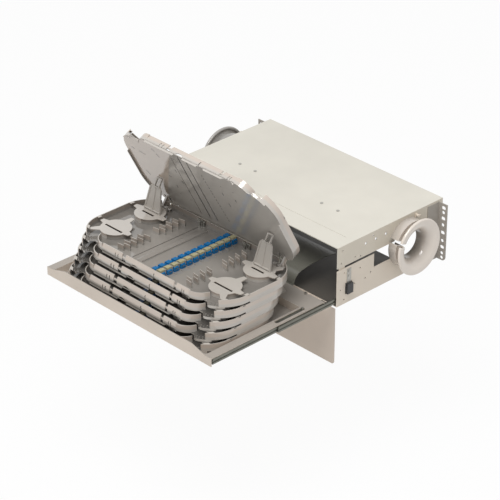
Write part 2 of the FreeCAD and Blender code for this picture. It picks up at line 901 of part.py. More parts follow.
def reel(side, advance, turn):
    """A fibre reel: a round stem under a plate whose slots leave curved petals."""
    floor = size("tray_floor") - size("tray_hinge_height")
    top = floor + size("reel_top")
    plate_low = top - size("reel_plate")
    centre = (side, -advance)
    stem = rod("z", centre, size("reel_stem_radius"), (floor, plate_low))
    hollow = rod("z", centre, size("reel_stem_radius") - size("tray_wall"), (floor, top + 1))
    disc = rod("z", centre, size("reel_radius"), (plate_low, top))
    slots = []
    for angle in (turn, turn + 90):
        slot = doc.addObject("Part::Box", "petal_slot")
        bind(slot, "Length", size("reel_radius") * 2 + 2)
        bind(slot, "Width", size("reel_slot"))
        bind(slot, "Height", size("reel_plate") + 2)
        slot.Placement = FreeCAD.Placement(
            FreeCAD.Vector(0, 0, 0), FreeCAD.Rotation(FreeCAD.Vector(0, 0, 1), angle)
        )
        cos, sin = math.cos(math.radians(angle)), math.sin(math.radians(angle))
        reach, half = size("reel_radius") + 1, size("reel_slot") / 2
        bind(slot, "Placement.Base.x", side - reach * cos + half * sin)
        bind(slot, "Placement.Base.y", -advance - reach * sin - half * cos)
        bind(slot, "Placement.Base.z", plate_low - 1)
        slots.append(slot)
    return cut(fuse(stem, disc), hollow, *slots)


def boss_spans():
    """The hinge knuckles of a tray, on both sides of the tower's and of the lug's slot."""
    half = size("hinge_plate") / 2 + size("hinge_side_gap")
    width = size("hinge_boss_width")
    tower, lug = tower_middle, lug_middle
    return [(tower - half - width, tower - half), (tower + half, lug - half), (lug + half, lug + half + width)]


def make_tray_pattern():
    """One tray about its own hinge axis: a flat tub with rounded corners and open entries."""
    bottom = -size("tray_hinge_height")
    floor = bottom + size("tray_floor")
    rim = bottom + size("tray_height")
    half = tray_half
    front = -size("tray_front")
    wall = size("tray_wall")
    tub = cut(rounded_block(as_size(0), bottom, rim), rounded_block(wall, floor, rim + 1))
    front_wall = size("tray_front_wall_half")
    entry = box((front_wall, half + 1), (front - 1, -size("tray_entry_start")), (floor, rim + 1))
    tub = cut(tub, *both_sides(entry))
    radius = size("tray_curl_radius")
    centre = (front_wall, front + radius)
    ring = cut(
        rod("z", centre, radius, (floor, rim)),
        rod("z", centre, radius - wall, (floor - 1, rim + 1)),
    )
    quarter = box((front_wall, front_wall + radius), (front, front + radius), (floor, rim))
    curl = common(ring, quarter)
    boss = size("hinge_boss_radius")
    bosses = []
    for span in boss_spans():
        bosses.append(rod("x", (as_size(0), as_size(0)), boss, span))
        bosses.append(box(span, (-boss, boss), (bottom, as_size(0))))
    low = bottom - boss
    trim = box((0, half), (-boss * 2, size("tray_rear") + boss), (low, bottom))
    bosses = [cut(fuse(*bosses), trim)]
    spans = boss_spans()
    slots = []
    for left, right in zip(spans, spans[1:]):
        slot_y = (-size("hinge_slot_end"), size("tray_rear") + 1)
        slots.append(box((left[1], right[0]), slot_y, (bottom - 1, rim + 1)))
    bore = rod(
        "x",
        (as_size(0), as_size(0)),
        size("hinge_pin_radius") + size("running_gap"),
        (spans[0][0] - 1, spans[-1][1] + 1),
    )
    reels = both_sides(reel(front_reel_side, size("front_reel_advance"), 45))
    reels += both_sides(reel(rear_reel_side, size("rear_reel_advance"), 0))
    side, width = size("fin_side"), size("fin_width")
    fins = []
    for number in range(SIZES["fin_count"]):
        y = -size("fin_advance") - size("fin_pitch") * number
        span = (y - size("fin_thickness"), y)
        fins += both_sides(box((side, side + width), span, (floor, floor + size("fin_height"))))
    channel = size("channel_side")
    ribs = [
        box((-x, -x + wall), (front + wall, size("tray_rear") - wall), (floor, floor + size("channel_height")))
        for x in (channel, channel / 2)
    ]
    parts = [tub, *both_sides(curl), *both_sides(bosses[0]), *reels, *fins, *ribs]
    slots = slots + [mirrored(slot) for slot in slots]
    return cut(fuse(*parts), *slots, *both_sides(bore))


def make_adapter_pattern():
    """The row of adapters and the row of their caps, about a tray's hinge axis."""
    floor = size("tray_floor") - size("tray_hinge_height")
    start = size("adapter_side")
    end = start + size("adapter_length")
    width = size("adapter_width")
    body_top = floor + size("adapter_height")
    cap_top = body_top + size("adapter_cap_height")
    cap_start = start + (size("adapter_length") - size("adapter_cap_length")) / 2
    cap_end = cap_start + size("adapter_cap_length")
    first = size("tray_rear") - size("tray_wall") - size("adapter_rear_gap")
    bodies, caps = [], []
    for number in range(SIZES["adapter_count"]):
        y = first - size("adapter_pitch") * number
        span = (y - width, y)
        bodies.append(box((start, end), span, (floor, body_top)))
        caps.append(box((cap_start, cap_end), span, (body_top, cap_top)))
    return bodies, caps


def arm_angle():
    """The prop arm's slope from the tray's floor, so that its tip stops just below the raised tray."""
    tilt = size("raised_tray_angle")
    axis = (-size("tray_step"), size("tray_pitch"))
    foot = (size("arm_advance"), size("arm_height"))
    beside = (axis[0] - foot[0]) * -sine(tilt) + (axis[1] - foot[1]) * cosine(tilt)
    short = size("tray_hinge_height") + size("arm_thickness") / 2 + gap
    return tilt + arc_sine((beside - short) / size("arm_length"))


def make_trays():
    pattern = make_tray_pattern()
    bodies, caps = make_adapter_pattern()
    body_row, cap_row = group(*bodies), group(*caps)
    for number in range(1, TRAY_COUNT + 1):
        y, z = tray_axis(number)
        angle = -size("raised_tray_angle") if number == TRAY_COUNT else None
        shell = tray_with_lugs(pattern) if number == TRAY_COUNT - 1 else group(pattern)
        node(put(shell, 0, y, z, angle), f"tray_{number}")
        node(put(group(body_row), 0, y, z, angle), f"adapters_{number}")
        node(put(group(cap_row), 0, y, z, angle), f"adapter_caps_{number}")


def tray_with_lugs(pattern):
    """The fifth tray: as the others, with a lug and a pin on each side that carry the sixth."""
    middle = lug_middle
    half = size("hinge_plate") / 2
    axes = ((as_size(0), as_size(0)), (size("tray_step"), size("tray_pitch")))
    outline = band_outline(axes, size("hinge_boss_radius"), as_size(0))
    bottom = -size("tray_hinge_height")
    foot = [(-size("hinge_slot_end") - size("hinge_boss_radius"), bottom + size("tray_floor") * 2)]
    foot += [(-size("hinge_slot_end") - size("hinge_boss_radius"), bottom)]
    lug = put(plate("lug", "YZ_Plane", foot + [(as_size(0), bottom)] + outline[1:], half * 2), middle - half)
    reach = size("hinge_boss_width") - 1 + size("hinge_side_gap")
    pin = rod("x", axes[1], size("hinge_pin_radius"), (middle - half - reach, middle + half + reach))
    lugs = both_sides(fuse(lug, pin))
    return fuse(pattern, *lugs)


def make_arms():
    """Two ribbed prop arms on the fifth tray's rear reels, under the raised tray."""
    y, z = tray_axis(TRAY_COUNT - 1)
    foot_y, foot_z = y - size("arm_advance"), z + size("arm_height")
    base, tip = size("arm_base_width") / 2, size("arm_tip_width") / 2
    length = size("arm_length")
    rib = size("arm_rib")
    thickness = size("arm_thickness")
    barrel = size("arm_barrel_radius")
    outline = [(-base, 0), (base, 0), (tip, length - rib), (tip - rib, length)]
    outline += [(rib - tip, length), (-tip, length - rib)]
    blade = put(plate("arm_blade", "XZ_Plane", outline, thickness), 0, thickness / 2, 0)
    low, high = barrel + rib, length - rib * 4
    inner_low, inner_high = base - rib - 1, tip - rib + 1
    window = [(rib / 2, low), (inner_low, low), (inner_high, high), (rib / 2, high)]
    window = put(plate("arm_window", "XZ_Plane", window, thickness + 2), 0, thickness / 2 + 1, 0)
    loop = box((rib - tip, tip - rib), (-thickness, thickness), (high + rib, length - rib))
    roll = rod("x", (as_size(0), as_size(0)), barrel, (-base, base))
    bore = rod("x", (as_size(0), as_size(0)), size("arm_pin_radius") + size("running_gap"), (-base - 1, base + 1))
    arm = cut(fuse(blade, roll), *both_sides(window), loop, bore)
    lean = arm_angle() - 90
    placed = put(group(arm), rear_reel_side, foot_y, foot_z, -lean)
    pair(placed, "prop_arm")
    reel_top = z + size("tray_floor") - size("tray_hinge_height") + size("reel_top")
    bracket = size("arm_bracket")
    side = rear_reel_side
    cheeks = []
    for edge in (side - base - gap - bracket, side + base + gap):
        cheeks.append(box((edge, edge + bracket), (foot_y - barrel, foot_y + barrel), (reel_top, foot_z + barrel)))
    reach = base + gap + bracket
    pin = rod("x", (foot_y, foot_z), size("arm_pin_radius"), (side - reach, side + reach))
    pair(fuse(*cheeks, pin), "prop_bracket")


def make_tray_pads():
    """Low pads on the pan floor, under the lowest tray."""
    y, z = tray_axis(1)
    floor = size("pan_bottom") + steel
    top = size("tray_bottom_height") - gap
    half = size("pin_radius") * 3
    pads = []
    for advance in (size("tray_rear_corner"), size("tray_front") - size("tray_front_corner")):
        middle = y - advance
        side = size("fin_side")
        pad = box((side, side + half * 2), (middle - half, middle + half), (floor, top))
        pads += both_sides(pad)
    node(group(*pads), "tray_pads")


def save_nodes():
    """Checks every object and writes one file for each node."""
    doc.recompute()
    for item in doc.Objects:
        if "Invalid" in item.State or "Error" in item.State:
            raise RuntimeError(f"{item.Label} failed: {item.State}")
    os.makedirs("parts", exist_ok=True)
    for item in nodes:
        shape = item.Shape
        if shape.isNull() or not shape.isValid() or not shape.Solids:
            raise RuntimeError(f"{item.Label} has no valid solid")
        shape.exportStep(f"parts/{item.Label}.step")


make_base_shell()
make_cover()
make_ears()
make_bell_mouths()
make_latches()
make_wall_hooks()
make_flap()
make_rails()
make_drawer()
make_guide_sheet()
make_hinge_towers()
make_tray_pads()
make_trays()
make_arms()
save_nodes()
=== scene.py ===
import math

import bmesh
import bpy
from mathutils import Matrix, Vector
from mathutils.geometry import tessellate_polygon
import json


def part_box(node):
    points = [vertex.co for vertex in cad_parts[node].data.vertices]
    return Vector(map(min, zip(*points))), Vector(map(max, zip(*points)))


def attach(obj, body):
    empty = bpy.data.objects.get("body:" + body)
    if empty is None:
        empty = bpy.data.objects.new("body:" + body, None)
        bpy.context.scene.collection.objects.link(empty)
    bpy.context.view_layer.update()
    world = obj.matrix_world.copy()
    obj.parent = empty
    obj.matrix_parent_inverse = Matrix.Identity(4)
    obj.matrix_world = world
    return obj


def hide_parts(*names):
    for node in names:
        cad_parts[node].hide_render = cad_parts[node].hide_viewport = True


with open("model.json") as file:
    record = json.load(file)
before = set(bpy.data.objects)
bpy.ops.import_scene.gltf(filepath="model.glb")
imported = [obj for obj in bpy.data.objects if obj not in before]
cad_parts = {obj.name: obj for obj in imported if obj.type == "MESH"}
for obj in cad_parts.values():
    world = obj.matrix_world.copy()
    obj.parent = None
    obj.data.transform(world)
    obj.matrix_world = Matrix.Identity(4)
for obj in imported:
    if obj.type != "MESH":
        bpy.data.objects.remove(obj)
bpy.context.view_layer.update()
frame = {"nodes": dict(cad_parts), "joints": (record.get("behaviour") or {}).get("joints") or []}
nodes = frame["nodes"]
joints = {joint["name"]: joint for joint in frame["joints"]}

# The camera's place in metres, its direction in degrees, and its lens and sensor in millimetres
CAMERA_PLACE = (2.55251, -2.70255, 1.96527)
CAMERA_AZIMUTH = 46.185
CAMERA_ELEVATION = 29.435
CAMERA_LENS = 163.265
CAMERA_SENSOR = 36.0
CAMERA_CLIP = (0.05, 50.0)

# Strengths of the surroundings as light, and of the floor's own glow
SOFT_LIGHT = 0.55
FLOOR_GLOW = 0.94

# Directions in the row frame, a millimetre in metres, and a metre in millimetres
RIGHT, LEFT = (1.0, 0.0, 0.0), (-1.0, 0.0, 0.0)
UP, DOWN = (0.0, 0.0, 1.0), (0.0, 0.0, -1.0)
MILLIMETRE, METRE = 0.001, 1000.0


def linear(red, green, blue):
    """A colour given as it shows on a screen, from 0 to 255, as linear light."""
    def channel(value):
        value = value / 255
        return value / 12.92 if value <= 0.04045 else ((value + 0.055) / 1.055) ** 2.4
    return (channel(red), channel(green), channel(blue), 1.0)


# Materials. Object coordinates are the row frame's, in metres, and stay with a body that moves.

# Most of a noise lies between these two values
NOISE_LOW, NOISE_HIGH = 0.3, 0.7
# The places of a colour mix's two colours among its inputs, and of its colour among its outputs
MIX_FIRST, MIX_SECOND, MIX_RESULT = 6, 7, 2


class Nodes:
    """A short way to add and link shader nodes in one material."""

    def __init__(self, name):
        self.material = bpy.data.materials.new(name)
        self.material.use_nodes = True
        self.tree = self.material.node_tree
        self.shader = self.tree.nodes["Principled BSDF"]
        place = self.add("ShaderNodeTexCoord")
        self.place = place.outputs["Object"]
        self.normal = place.outputs["Normal"]

    def add(self, kind, **values):
        """A new node, with values for its settings and its inputs."""
        item = self.tree.nodes.new(kind)
        for name, value in values.items():
            if hasattr(item, name):
                setattr(item, name, value)
            else:
                item.inputs[name.replace("_", " ")].default_value = value
        return item

    def link(self, start, end):
        self.tree.links.new(start, end)

    def feed(self, socket, value):
        """Links a socket to a value, or writes a plain number into it."""
        if isinstance(value, (int, float)):
            socket.default_value = value
        else:
            self.link(value, socket)

    def set(self, name, value):
        self.feed(self.shader.inputs[name], value)

    def noise(self, scale, detail=3.0, roughness=0.5):
        item = self.add("ShaderNodeTexNoise", Scale=scale, Detail=detail, Roughness=roughness)
        self.link(self.place, item.inputs["Vector"])
        return item.outputs["Fac"]

    def blend(self, factor, low, high):
        """A colour between two, by a factor that varies over the surface."""
        ramp = self.add("ShaderNodeValToRGB")
        for stop, place, colour in zip(ramp.color_ramp.elements, (NOISE_LOW, NOISE_HIGH), (low, high)):
            stop.position = place
            stop.color = colour
        self.link(factor, ramp.inputs["Fac"])
        return ramp.outputs["Color"]

    def spread(self, factor, low, high, start=NOISE_LOW, end=NOISE_HIGH):
        """A number between two, by a factor that varies over the surface."""
        item = self.add("ShaderNodeMapRange", From_Min=start, From_Max=end, To_Min=low, To_Max=high)
        self.link(factor, item.inputs["Value"])
        return item.outputs["Result"]

    def math(self, operation, first, second):
        item = self.add("ShaderNodeMath", operation=operation)
        for socket, value in zip(item.inputs, (first, second)):
            self.feed(socket, value)
        return item.outputs["Value"]

    def dot(self, vector, direction):
        item = self.add("ShaderNodeVectorMath", operation="DOT_PRODUCT")
        self.link(vector, item.inputs[0])
        item.inputs[1].default_value = direction
        return item.outputs["Value"]

    def facing(self, direction, limit=0.5):
        """One on the faces that look along a direction, and zero on the others."""
        return self.math("GREATER_THAN", self.dot(self.normal, direction), limit)

    def within(self, value, start, end):
        """Zero at the start, one at the end, and a soft change between them."""
        return self.spread(value, 0.0, 1.0, start, end)

    def tint(self, colour, mask, tone):
        """The colour, multiplied by a tone where the mask is one."""
        item = self.add("ShaderNodeMix", data_type="RGBA", blend_type="MULTIPLY")
        self.link(mask, item.inputs["Factor"])
        self.link(colour, item.inputs[MIX_FIRST])
        item.inputs[MIX_SECOND].default_value = tone
        return item.outputs[MIX_RESULT]

    def base(self, colour, tone, scale, detail, zones):
        """Sets the base colour: one that drifts by a tone over a noise, with zones tinted by painted light
        and shade.
        """
        mixed = self.blend(self.noise(scale, detail), shade(colour, 1 - tone), shade(colour, 1 + tone))
        for mask, tint in zones:
            mixed = self.tint(mixed, mask(self), tint)
        self.set("Base Color", mixed)

    def bump(self, height, strength, distance):
        item = self.add("ShaderNodeBump", Strength=strength, Distance=distance)
        self.link(height, item.inputs["Height"])
        self.link(item.outputs["Normal"], self.shader.inputs["Normal"])


def shade(colour, factor):
    """A colour made lighter or darker."""
    return tuple(min(1.0, value * factor) for value in colour[:3]) + (1.0,)


def painted(name, colour, zones=(), roughness=0.42, grain=900.0, strength=0.12, tone=0.05):
    """Powder coat: a fine orange peel, and a tone that drifts a little over the sheet."""
    made = Nodes(name)
    made.base(colour, tone, 9.0, 4.0, zones)
    made.set("Roughness", made.spread(made.noise(40.0), roughness - 0.05, roughness + 0.06))
    made.set("Specular IOR Level", 0.4)
    made.bump(made.noise(grain, 2.0), strength, 0.0002)
    return made.material


def moulded(name, colour, zones=(), roughness=0.25, tone=0.04, grain=500.0, strength=0.06, level=0.5):
    """Injection moulded plastic: smooth, with a faint waviness and a slightly uneven tone."""
    made = Nodes(name)
    made.base(colour, tone, 14.0, 3.0, zones)
    made.set("Roughness", made.spread(made.noise(25.0), roughness - 0.04, roughness + 0.05))
    made.set("Specular IOR Level", level)
    made.bump(made.noise(grain, 2.0), strength, 0.0001)
    return made.material


def metal(name, colour, roughness=0.35, stretch=(1.0, 0.04, 1.0), strength=0.1):
    """Plated or drawn steel: bright, with fine lines along its length."""
    made = Nodes(name)
    mapping = made.add("ShaderNodeMapping")
    mapping.inputs["Scale"].default_value = stretch
    made.link(made.place, mapping.inputs["Vector"])
    lines = made.add("ShaderNodeTexNoise", Scale=1500.0, Detail=2.0)
    made.link(mapping.outputs["Vector"], lines.inputs["Vector"])
    drift = made.noise(60.0, 3.0)
    made.set("Base Color", made.blend(drift, shade(colour, 0.9), shade(colour, 1.08)))
    made.set("Roughness", made.spread(lines.outputs["Fac"], roughness - 0.06, roughness + 0.08))
    made.set("Metallic", 1.0)
    made.bump(lines.outputs["Fac"], strength, 0.0001)
    return made.material


def grey(level, warmth=0.0):
    """A tint that darkens, and with some warmth keeps more red than blue."""
    return (level * (1 + warmth), level, level * (1 - warmth), 1.0)


# Zones: masks that are one on a part of a surface, and zero elsewhere, where painted light and shade are
# tinted in

# The top of the case's floor plate, and how far above it a face still counts as the plate's
CASE_FLOOR = -0.05315
CASE_FLOOR_MARGIN = 0.003
# Past these distances in metres, a face that looks back towards the middle is an inner one
CASE_INSIDE, TRAY_INSIDE = 0.1, 0.03
# Millimetres from the middle between which a bell-mouth's shaded drum fades in
DRUM_SHADE = (252.0, 212.0)


def upward(made):
    return made.facing(UP)


def downward(made):
    return made.facing(DOWN)


def sideways(made):
    """The faces that look left or right."""
    return made.math("MAXIMUM", made.facing(RIGHT), made.facing(LEFT))


def across_place(made):
    """Millimetres across, to the right of the middle."""
    return made.dot(made.place, (METRE, 0.0, 0.0))


def distance(made):
    """Millimetres from the middle, to either side."""
    return made.math("ABSOLUTE", across_place(made), 0.0)


def facing_middle(made, limit):
    """The faces that look towards the middle, and lie further from it than a limit."""
    side = made.math("MULTIPLY", made.dot(made.place, RIGHT), made.dot(made.normal, RIGHT))
    return made.math("LESS_THAN", side, -limit)


def case_inside(made):
    return facing_middle(made, CASE_INSIDE)


def case_floor(made):
    """The top of the case's floor plate."""
    low = made.math("LESS_THAN", made.dot(made.place, UP), CASE_FLOOR + CASE_FLOOR_MARGIN)
    return made.math("MULTIPLY", upward(made), low)


def drum(made):
    """The part of a bell-mouth near the case, fading towards its lip."""
    return made.within(distance(made), *DRUM_SHADE)


# Limits of a tray's zones, in millimetres. A zone fades in from a pair's first value to its second.
# What looks up is the floor below this height, and a plate or a rim above it
FLOOR_TOP = 1.5
REAR_SHADE, SIDE_SHADE = (90.0, 20.0), (80.0, 120.0)
FIN_SIDE, FIN_FRONT, FIN_REAR = (98.0, 96.0), (172.0, 170.0), (5.0, 6.0)
UPPER_WALL = (2.5, 3.5)
REAR_WALL = (16.0, 14.0)
# The edge of the painted beige reflection on the underside: its slope, and where it is at the hinge
LEFT_SLOPE, LEFT_REFLECTION_EDGE = 0.55, (-146.0, -150.0)
# The number of the tray that is propped up, and the trays that the others hide, which get painted shade
RAISED = 6
HIDDEN = range(1, 5)
# How far it is raised: at rest its joint stands at the upper end of its range, at zero
RAISED_ANGLE = math.radians(-joints["tray_6_hinge"]["range_deg"][0])


class Tray:
    """One tray's own axes: its hinge, and the directions forwards along and up from its floor."""

    def __init__(self, number):
        angle = RAISED_ANGLE if number == RAISED else 0.0
        self.number = number
        self.body = f"tray_{number}"
        self.hidden = number in HIDDEN
        self.hinge = Vector(joints[f"tray_{number}_hinge"]["pos_m"])
        self.forward = Vector((0.0, -math.cos(angle), math.sin(angle)))
        self.up = Vector((0.0, math.sin(angle), math.cos(angle)))

    def point(self, x, advance, height):
        """A place in the row frame from millimetres across, forwards and up from the hinge."""
        beside = Vector((x, 0.0, 0.0)) * MILLIMETRE
        return self.hinge + beside + (self.forward * advance + self.up * height) * MILLIMETRE

    def measure(self, made, direction):
        """Millimetres from the hinge along one of the tray's directions, for a shader."""
        value = made.math("SUBTRACT", made.dot(made.place, direction), self.hinge.dot(direction))
        return made.math("MULTIPLY", value, METRE)

    def height(self, made):
        return self.measure(made, self.up)

    def advance(self, made):
        return self.measure(made, self.forward)

    def floor_zone(self, made):
        low = made.math("LESS_THAN", self.height(made), FLOOR_TOP)
        return made.math("MULTIPLY", made.facing(self.up), low)

    def top_zone(self, made):
        """The reels' plates and the walls' rims."""
        high = made.math("GREATER_THAN", self.height(made), FLOOR_TOP)
        return made.math("MULTIPLY", made.facing(self.up), high)

    def corner_zone(self, made):
        """The floor around the reels and along the rear wall, where less light falls."""
        rear = made.within(self.advance(made), *REAR_SHADE)
        outer = made.math("MAXIMUM", made.within(distance(made), *SIDE_SHADE), rear)
        return made.math("MULTIPLY", self.floor_zone(made), outer)

    def under_zone(self, made):
        return made.facing(-self.up)

    def left_reflection_zone(self, made):
        """The left part of the underside, which gets a painted beige reflection."""
        shift = made.math("MULTIPLY", self.advance(made), LEFT_SLOPE)
        slanted = made.math("SUBTRACT", across_place(made), shift)
        return made.math("MULTIPLY", self.under_zone(made), made.within(slanted, *LEFT_REFLECTION_EDGE))

    def fin_zone(self, made):
        """What stands upright on the floor between the reels and the middle, which gets painted shade."""
        inner = made.math("MULTIPLY", self.upright(made), made.within(distance(made), *FIN_SIDE))
        ends = made.math("MULTIPLY", inner, made.within(self.advance(made), *FIN_FRONT))
        return made.math("MULTIPLY", ends, made.within(self.advance(made), *FIN_REAR))

    def upper_zone(self, made):
        """The upper half of the walls, which gets painted warm light."""
        return made.math("MULTIPLY", made.within(self.height(made), *UPPER_WALL), self.upright(made))

    def inner_zone(self, made):
        """The faces of the walls that look into the tray, which get painted shade."""
        rear = made.within(self.advance(made), *REAR_WALL)
        behind = made.math("MULTIPLY", made.facing(self.forward), rear)
        inside = made.math("MAXIMUM", facing_middle(made, TRAY_INSIDE), behind)
        return made.math("MULTIPLY", self.upright(made), inside)

    def upright(self, made):
        """What looks neither up nor down."""
        flat_faces = made.math("ADD", made.facing(self.up), made.facing(-self.up))
        return made.math("SUBTRACT", 1.0, flat_faces)


TRAYS = [Tray(number) for number in range(1, RAISED + 1)]
# The tray below the raised one, which carries its lugs and its prop arms
CARRIER = TRAYS[-2]

# The cover: painted shade inside and underneath, and painted warm light on its sides
COVER = painted(
    "cover_paint",
    linear(214, 210, 199),
    [(case_inside, grey(0.4)), (downward, grey(0.3)), (sideways, (1.0, 0.955, 0.91, 1.0))],
)
# The case: painted shade on its inner walls, and deeper painted shade on its floor plate inside
CASE = painted("case_paint", linear(222, 211, 196), [(case_inside, grey(0.35)), (case_floor, grey(0.13))])
EAR = painted("ear_paint", linear(168, 162, 154))
# The drawer: painted shade on what looks up
DRAWER = painted("drawer_paint", linear(213, 201, 188), [(upward, grey(0.58, -0.03))])
FLAP = painted("flap_paint", linear(200, 187, 174))
ZINC = metal("zinc", linear(176, 174, 168))
SLIDE = metal("slide_steel", linear(124, 124, 116), 0.4)
BLACK = moulded("black_plastic", linear(48, 48, 50), roughness=0.35)
BELL = moulded("bell_plastic", linear(226, 216, 205), [(drum, grey(0.42))], roughness=0.1, level=0.9)
# The left bell-mouth stands in the shelf's shade
BELL_LEFT = moulded(
    "bell_plastic_shaded", linear(168, 164, 159), [(drum, grey(0.6))], roughness=0.12, level=0.8
)
GUIDE = moulded("guide_plastic", linear(118, 117, 108), roughness=0.22)
TOWER = moulded("tower_plastic", linear(180, 174, 166), roughness=0.25)
BLUE = moulded("adapter_blue", linear(14, 108, 166), roughness=0.25)
CAP = moulded("cap_beige", linear(172, 166, 132), roughness=0.35)
# Copies of the blue and the beige with painted shade, for the adapters and caps of the hidden trays
BLUE_PAINTED_SHADE = moulded("adapter_blue_painted_shade", linear(8, 34, 58), roughness=0.4)
CAP_PAINTED_SHADE = moulded("cap_beige_painted_shade", linear(52, 50, 40), roughness=0.4)


def tray_plastic(tray):
    """Glossy plastic, with zones of painted shade, a painted beige reflection and painted warm light."""
    # Painted shade on the floor, its corners, the plates and rims, and the underside; deeper on the hidden
    # trays
    zones = [
        (tray.floor_zone, grey(0.3 if tray.hidden else 0.58)),
        (tray.corner_zone, grey(0.7)),
        (tray.top_zone, grey(0.98)),
        (tray.under_zone, grey(0.2 if tray.hidden else 0.86)),
        # A painted beige reflection on the underside's left, and painted shade on the inner walls and fins
        (tray.left_reflection_zone, (1.16, 1.05, 0.97, 1.0)),
        (tray.inner_zone, grey(0.5)),
        (tray.fin_zone, grey(0.72)),
        # Painted warm light on the upper half of the walls
        (tray.upper_zone, (1.08, 1.0, 0.95, 1.0)),
    ]
    return moulded(f"{tray.body}_plastic", linear(190, 184, 176), zones, roughness=0.09, level=1.0)


# The material of each CAD node, by its whole name or by its name without side or number
FINISH = {
    "base_shell": CASE,
    "top_cover": COVER,
    "cover_rivets": ZINC,
    "flap_hinge_rod": ZINC,
    "ear": EAR,
    "bell_mouth": BELL,
    "bell_mouth_left": BELL_LEFT,
    "outer_rail": SLIDE,
    "middle_rail": SLIDE,
    "drawer_rail": SLIDE,
    "latch_spring": ZINC,
    "latch_button": BLACK,
    "wall_hook": CASE,
    "flap": FLAP,
    "drawer_pan": DRAWER,
    "drawer_pins": ZINC,
    "guide_sheet": GUIDE,
    "tray_pads": BLACK,
    "hinge_tower": TOWER,
    "adapters": BLUE,
    "adapter_caps": CAP,
    "prop_arm": TOWER,
    "prop_bracket": TOWER,
}
for tray in TRAYS:
    FINISH[tray.body] = tray_plastic(tray)
# The hidden trays' adapters and caps get the copies with painted shade
for number in HIDDEN:
    FINISH[f"adapters_{number}"] = BLUE_PAINTED_SHADE
    FINISH[f"adapter_caps_{number}"] = CAP_PAINTED_SHADE


def finish_of(name):
    """The material of a CAD node."""
    if name in FINISH:
        return FINISH[name]
    return FINISH[name.rsplit("_", 1)[0]]


def dress(item, material):
    """Gives an object one material all over, without a change to its mesh."""
    if not item.material_slots:
        item.data.materials.append(material)
    for place in item.material_slots:
        place.material = material


for name, item in nodes.items():
    dress(item, finish_of(name))


# Pieces in mesh code, in millimetres from a tray's hinge axis: across, forwards and up

# How far a piece reaches into the one it stands on
SUNK = 0.1
# The angle in degrees above which an edge stays sharp
SHARP = 28


def flat(a, b, c):
    """An outline seen from above, drawn out upwards."""
    return a, b, c


def across(a, b, c):
    """An outline of advance and height, drawn out across."""
    return c, a, b


def along(a, b, c):
    """An outline of side and height, drawn out forwards."""
    return a, c, b


def arc(centre, radius, start, end, steps=12):
    """Points on an arc between two angles in degrees."""
    points = []
    for step in range(steps + 1):
        angle = math.radians(start + (end - start) * step / steps)
        points.append((centre[0] + radius * math.cos(angle), centre[1] + radius * math.sin(angle)))
    return points


def circle(centre, radius, steps):
    return arc(centre, radius, 0, 360, steps)[:-1]


def rectangle(left, right, low, high):
    return [(left, low), (right, low), (right, high), (left, high)]


def opposite(points):
    """The same outline on the other side of the middle."""
    return [(-a, b) for a, b in reversed(points)]


def around(middle, half):
    """The two ends of a span, from its middle and half its length."""
    return middle - half, middle + half


class Form:
    """One piece in the making: outlines drawn out along an axis and kept as one mesh."""

    def __init__(self, point):
        self.point = point
        self.corners = []
        self.faces = []

    def draw(self, outline, low, high, place=flat, holes=()):
        """Draws an outline out from one level to another, with holes through it."""
        loops = [outline, *holes]
        start = len(self.corners)
        count = sum(len(loop) for loop in loops)
        for level in (low, high):
            for loop in loops:
                for a, b in loop:
                    self.corners.append(self.point(*place(a, b, level)))
        flat_loops = [[Vector((a, b, 0.0)) for a, b in loop] for loop in loops]
        for face in tessellate_polygon(flat_loops):
            self.faces.append([start + corner for corner in face])
            self.faces.append([start + count + corner for corner in reversed(face)])
        first = start
        for loop in loops:
            size = len(loop)
            for number in range(size):
                after = (number + 1) % size
                ends = [first + number, first + after]
                self.faces.append(ends + [first + count + after, first + count + number])
            first += size

    def box(self, side, advance, height):
        self.draw(rectangle(*side, *advance), *height)

    def rod(self, centre, radius, span, place=across, steps=16):
        self.draw(circle(centre, radius, steps), *span, place)

    def finish(self, name, material, body, slot, replaced=()):
        """Turns the outlines into a piece that rides a body."""
        mesh = bpy.data.meshes.new(name)
        mesh.from_pydata(self.corners, [], self.faces)
        shape = bmesh.new()
        shape.from_mesh(mesh)
        bmesh.ops.recalc_face_normals(shape, faces=shape.faces)
        shape.to_mesh(mesh)
        shape.free()
        mesh.polygons.foreach_set("use_smooth", [True] * len(mesh.polygons))
        mesh.set_sharp_from_angle(angle=math.radians(SHARP))
        mesh.materials.append(material)
        piece = bpy.data.objects.new(name, mesh)
        bpy.context.collection.objects.link(piece)
        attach(piece, body)
        if replaced:
            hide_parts(*replaced)


# A tray's outline seen from above: half its width, its rear and front and its corners' radius
HALF = 192.7
REAR, FRONT = -8.0, 180.0
CORNER = 60.0
# Heights of the floor's underside and top and of the rim, and the thickness of the walls
BOTTOM, FLOOR, RIM = -3.0, -1.5, 10.7
WALL = 1.5
# Where the side wall ends at the front, to leave an entry for fibres
ENTRY = 165.5
# The slots for the hinge towers' blades, how far forwards they reach, and the bosses beside them
TOWER_SLOTS = [(137.4, 142.6), (149.4, 154.6)]
SLOT_END = 9.0
BOSSES = [(131.9, 137.4), (142.6, 149.4), (154.6, 160.1)]
BOSS_RADIUS = 3.6
# The distance from the middle at which the side wall starts, outside the towers' slots
SIDE_START = 160.0


def angle_at(advance, centre, radius):
    """The angle in degrees at which a circle round a centre reaches an advance."""
    return math.degrees(math.asin((advance - centre) / radius))


